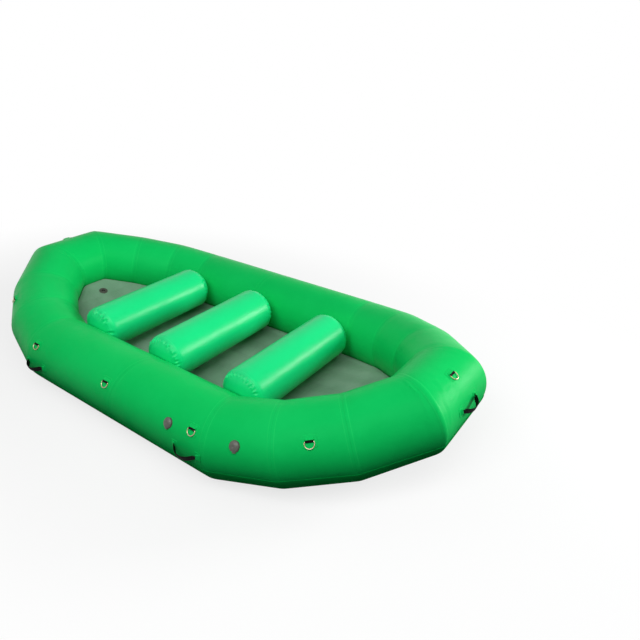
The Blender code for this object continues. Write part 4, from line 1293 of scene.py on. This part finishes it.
class RaftColours(bpy.types.PropertyGroup):
    tube: tone("Tube Fabric", (0.006, 0.575, 0.118))
    tube_shade: tone("Tube Fabric In Shade", (0.004, 0.540, 0.106))
    thwart: tone("Thwart Fabric", (0.006, 0.690, 0.215))
    thwart_shade: tone("Thwart Fabric In Shade", (0.005, 0.660, 0.200))
    # The chafer's colours are a green cloth's, darkened further by painted shade, as the tube's low outer side is at
    # full strength. The floor's flange takes them too.
    chafer: tone("Chafer Fabric", (0.002, 0.330, 0.058))
    chafer_shade: tone("Chafer Fabric In Shade", (0.001, 0.300, 0.050))
    floor: tone("Floor Fabric", (0.225, 0.370, 0.265))
    floor_shade: tone("Floor Fabric In Shade", (0.170, 0.305, 0.208))
    webbing: tone("Webbing", (0.003, 0.003, 0.003))
    plastic: tone("Valve Plastic", (0.088, 0.093, 0.076))
    rim: tone("Valve Rim Plastic", (0.045, 0.043, 0.036))
    steel: tone("Ring Steel", (0.460, 0.430, 0.310))
    ground: tone("Ground", (0.900, 0.905, 0.905))
    bounce: tone("Ground To Bounced Light", (0.050, 0.050, 0.048))


class RaftStage(bpy.types.PropertyGroup):
    window: watts("Window Lamp", "low lamp off the port bow", 400.0)
    overhead: watts("Overhead Lamp", "lamp above the raft", 12.0)
    fill: watts("Fill Lamp", "lamp off the starboard side", 225.0)
    key: watts("Key Lamp", "lamp off the starboard bow", 180.0)
    glow: FloatProperty(
        name="Ground Glow", description="Share of the ground's white that no shadow takes away",
        default=0.75, min=0.0, max=1.0)
    sky: FloatProperty(
        name="Sky", description="Strength of the even light", default=0.07, min=0.0, max=3.0)
    lens: FloatProperty(
        name="Focal Length", description="Camera's focal length in millimetres", default=31.256,
        min=10.0, max=200.0)


# Operators

class RAFT_OT_tubes(bpy.types.Operator):
    """Build the skins of the four air chambers"""
    bl_idname = "raft.tubes"
    bl_label = "Tubes"

    def execute(self, context):
        sizes = context.scene.raft_sizes
        seams = {STARBOARD: (SIDE_SEAM,), PORT: (SIDE_SEAM,)}
        for name, (first, count) in CHAMBERS.items():
            skin = tube_skin(first, count, sizes, seams)
            skin.make(name + "_tube_skin", "tube", "hull", "tube_fabric", [name + "_tube"])
        return {"FINISHED"}


class RAFT_OT_chafer(bpy.types.Operator):
    """Build the rub strip under the tubes"""
    bl_idname = "raft.chafer"
    bl_label = "Chafer"

    def execute(self, context):
        skin = chafer_skin(context.scene.raft_sizes)
        skin.make("chafer_strip", "chafer", "hull", "chafer_fabric", ["bottom_chafer"])
        return {"FINISHED"}


class RAFT_OT_thwarts(bpy.types.Operator):
    """Build the three inflated thwarts"""
    bl_idname = "raft.thwarts"
    bl_label = "Thwarts"

    def execute(self, context):
        sizes = context.scene.raft_sizes
        for seed, (name, share) in enumerate((("forward", 1.5), ("middle", 1.0), ("aft", 0.45))):
            skin = thwart_skin(THWARTS[name], sizes, round(sizes.gathers * share), 40 + seed)
            skin.make(name + "_thwart_skin", "thwart", "hull", "thwart_fabric", [name + "_thwart"])
        return {"FINISHED"}


class RAFT_OT_floor(bpy.types.Operator):
    """Build the inflated floor and the flange that it hangs on"""
    bl_idname = "raft.floor"
    bl_label = "Floor"

    def execute(self, context):
        skin = floor_skin(context.scene.raft_sizes)
        skin.make("floor_bladder", "floor", "hull", "floor_fabric", ["inflatable_floor"], 60.0)
        flange = skirt_skin().make("floor_skirt", "chafer", "hull", "chafer_fabric", ["floor_flange"])
        sheet = flange.modifiers.new("thickness", "SOLIDIFY")
        sheet.thickness = 0.0014
        sheet.offset = 0.0
        return {"FINISHED"}


class RAFT_OT_rings(bpy.types.Operator):
    """Build the D-rings with their webbing and patches"""
    bl_idname = "raft.rings"
    bl_label = "D-Rings"

    def execute(self, context):
        patches, loops = Skin(), Skin()
        for name, place in drings().items():
            station = fitting_frame(*place)
            bonded_patch(patches, *place, *RING_PATCH, over_tail)
            webbing_loop(loops, station)
            node = "dring_" + name
            ring_wire(station).make("ring_" + name, "steel", node, "ring_steel", [node])
        patches.make("ring_patches", "tube", "hull", "tube_fabric")
        loops.make("ring_webbing", "webbing", "hull", "webbing")
        return {"FINISHED"}


class RAFT_OT_handles(bpy.types.Operator):
    """Build the carry handles with their patches"""
    bl_idname = "raft.handles"
    bl_label = "Handles"

    def execute(self, context):
        patches, tails = Skin(), Skin()
        for name, (length, offset, facing) in handles().items():
            station = fitting_frame(length, offset, facing)
            for side in (-1, 1):

                def over_strap(x, y):
                    """A patch's height over a handle's end: a slope that falls
                    away from the handle."""
                    inside = 1.0 - smooth(np.abs(y), 0.0160, 0.0200)
                    slope = 0.0100 - 0.0097 * smooth(side * x, -0.005, 0.018)
                    return inside * smooth(side * x, -0.0065, -0.0045) * slope

                end = offset + side * HANDLE_REACH
                bonded_patch(patches, length, end, facing, *HANDLE_PATCH, over_strap)
                handle_tail(tails, station, side)
            node = "handle_" + name
            handle_strap(station, facing).make("strap_" + name, "webbing", node, "webbing", [node])
        patches.make("handle_patches", "tube", "hull", "tube_fabric")
        tails.make("handle_tails", "webbing", "hull", "webbing")
        return {"FINISHED"}


class RAFT_OT_valves(bpy.types.Operator):
    """Build the inflation valves and the floor's relief valve"""
    bl_idname = "raft.valves"
    bl_label = "Valves"

    def execute(self, context):
        for name, station in valves().items():
            insert, plunger, cap = Skin(), "valve_plunger_" + name, "cap_" + name
            valve_insert(insert, station, VALVE_RADIUS)
            hinge_ears(insert, station)
            insert.make("insert_" + name, "rim", "hull", "valve_plastic", ["valve_body_" + name])
            valve_stem(station).make("stem_" + name, "seal", plunger, "seal_rubber", [plunger])
            spring("valve_spring_" + name, station, *VALVE_SPRING, plunger)
            valve_cap(station).make("lid_" + name, "plastic", cap, "valve_plastic", [cap])
        station, poppet = relief_frame(), "relief_valve_poppet"
        insert = Skin()
        valve_insert(insert, station, RELIEF_RADIUS)
        insert.make("relief_insert", "rim", "hull", "valve_plastic", ["relief_valve_body"])
        relief_disc(station).make("relief_disc", "plastic", poppet, "seal_rubber", [poppet])
        spring("relief_valve_spring", station, *RELIEF_SPRING, poppet)
        return {"FINISHED"}


# Each lamp's heading and height in degrees, its distance and its width
LAMPS = (
    ("window", 38.0, 15.0, 7.5, 2.0), ("overhead", -135.0, 73.0, 2.65, 2.2),
    ("fill", -75.0, 48.0, 7.5, 3.6), ("key", -30.0, 52.0, 7.5, 3.6),
)
LAMP_AIM_HEIGHT = 0.3
# The photo's camera: its place about the point that it looks at, in metres and
# degrees, and the photo's width and the point on its axis, in pixels
CAMERA_AIM, CAMERA_FAR = (0.2464, 1.3228, 0.25), 5.3883
CAMERA_HEADING, CAMERA_RISE, CAMERA_ROLL = -55.295946, 25.364842, 0.338045
PHOTO_SIZE, PHOTO_MIDDLE = 640.0, (335.73, 291.30)


def direction(heading, rise):
    """The way to a compass heading from +X and a height, both in degrees."""
    turn, tilt = math.radians(heading), math.radians(rise)
    return Vector((math.cos(tilt) * math.cos(turn), math.cos(tilt) * math.sin(turn), math.sin(tilt)))


class RAFT_OT_stage(bpy.types.Operator):
    """Build the floor, the light and the camera"""
    bl_idname = "raft.stage"
    bl_label = "Stage"

    def execute(self, context):
        scene = context.scene
        stage, tones = scene.raft_stage, scene.raft_colours
        mesh = bpy.data.meshes.new("ground")
        disc = bmesh.new()
        bmesh.ops.create_circle(disc, cap_ends=True, segments=96, radius=40.0,
                                matrix=Matrix.Translation((0.0, 0.0, -0.0005)))
        disc.to_mesh(mesh)
        disc.free()
        ground = bpy.data.objects.new("ground", mesh)
        mesh.materials.append(floor_finish("ground", tuple(tones.ground), tuple(tones.bounce), stage.glow))
        scene.collection.objects.link(ground)
        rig.stage(ground)

        scene.world = bpy.data.worlds.new("sky")
        scene.world.use_nodes = True
        plan = Plan.of_tree(scene.world.node_tree)
        glow = plan.tree.nodes["Background"]
        glow.inputs["Color"].default_value = (*WHITE, 1.0)
        level = plan.seen() * (1.0 - stage.sky) + stage.sky
        plan.tree.links.new(level.socket, glow.inputs["Strength"])
        for name, heading, rise, far, size in LAMPS:
            aim = direction(heading, rise)
            lamp = bpy.data.lights.new(name, "AREA")
            lamp.size = size
            lamp.energy = getattr(stage, name)
            made = bpy.data.objects.new(name, lamp)
            made.rotation_euler = aim.to_track_quat("Z", "Y").to_euler()
            made.location = aim * far + Vector((0.0, 0.0, LAMP_AIM_HEIGHT))
            scene.collection.objects.link(made)

        data = bpy.data.cameras.new("camera")
        data.sensor_width = 36.0
        data.lens = stage.lens
        data.shift_x = (PHOTO_SIZE / 2 - PHOTO_MIDDLE[0]) / PHOTO_SIZE
        data.shift_y = (PHOTO_MIDDLE[1] - PHOTO_SIZE / 2) / PHOTO_SIZE
        camera = bpy.data.objects.new("camera", data)
        back = direction(CAMERA_HEADING, CAMERA_RISE)
        roll = Matrix.Rotation(math.radians(CAMERA_ROLL), 3, "Z")
        turn = back.to_track_quat("Z", "Y").to_matrix() @ roll
        camera.matrix_world = Matrix.LocRotScale(Vector(CAMERA_AIM) + back * CAMERA_FAR, turn, None)
        scene.collection.objects.link(camera)
        scene.camera = camera
        scene.view_settings.view_transform = "Standard"
        return {"FINISHED"}


PIECES = (
    RAFT_OT_tubes, RAFT_OT_chafer, RAFT_OT_thwarts, RAFT_OT_floor, RAFT_OT_rings,
    RAFT_OT_handles, RAFT_OT_valves, RAFT_OT_stage,
)


class RAFT_PT_panel(bpy.types.Panel):
    """The raft's settings and pieces"""
    bl_label = "Raft"
    bl_idname = "RAFT_PT_panel"
    bl_space_type = "VIEW_3D"
    bl_region_type = "UI"
    bl_category = "Raft"

    def draw(self, context):
        for group in (context.scene.raft_sizes, context.scene.raft_colours, context.scene.raft_stage):
            box = self.layout.box()
            for name in group.bl_rna.properties.keys():
                if name not in ("rna_type", "name"):
                    box.prop(group, name)
        for piece in PIECES:
            self.layout.operator(piece.bl_idname)


CLASSES = (RaftSizes, RaftColours, RaftStage, *PIECES, RAFT_PT_panel)


def register():
    for each in CLASSES:
        bpy.utils.register_class(each)
    bpy.types.Scene.raft_sizes = PointerProperty(type=RaftSizes)
    bpy.types.Scene.raft_colours = PointerProperty(type=RaftColours)
    bpy.types.Scene.raft_stage = PointerProperty(type=RaftStage)


def unregister():
    del bpy.types.Scene.raft_stage
    del bpy.types.Scene.raft_colours
    del bpy.types.Scene.raft_sizes
    for each in reversed(CLASSES):
        bpy.utils.unregister_class(each)


def main():
    register()
    bpy.ops.raft.tubes()
    bpy.ops.raft.chafer()
    bpy.ops.raft.thwarts()
    bpy.ops.raft.floor()
    bpy.ops.raft.rings()
    bpy.ops.raft.handles()
    bpy.ops.raft.valves()
    bpy.ops.raft.stage()
    sizes = {"cad": [list(corner) for corner in CAD_BOX], "visual": [list(corner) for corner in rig.bounds()]}
    with open("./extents.json", "w") as file:
        json.dump(sizes, file)


if __name__ == "__main__":
    main()
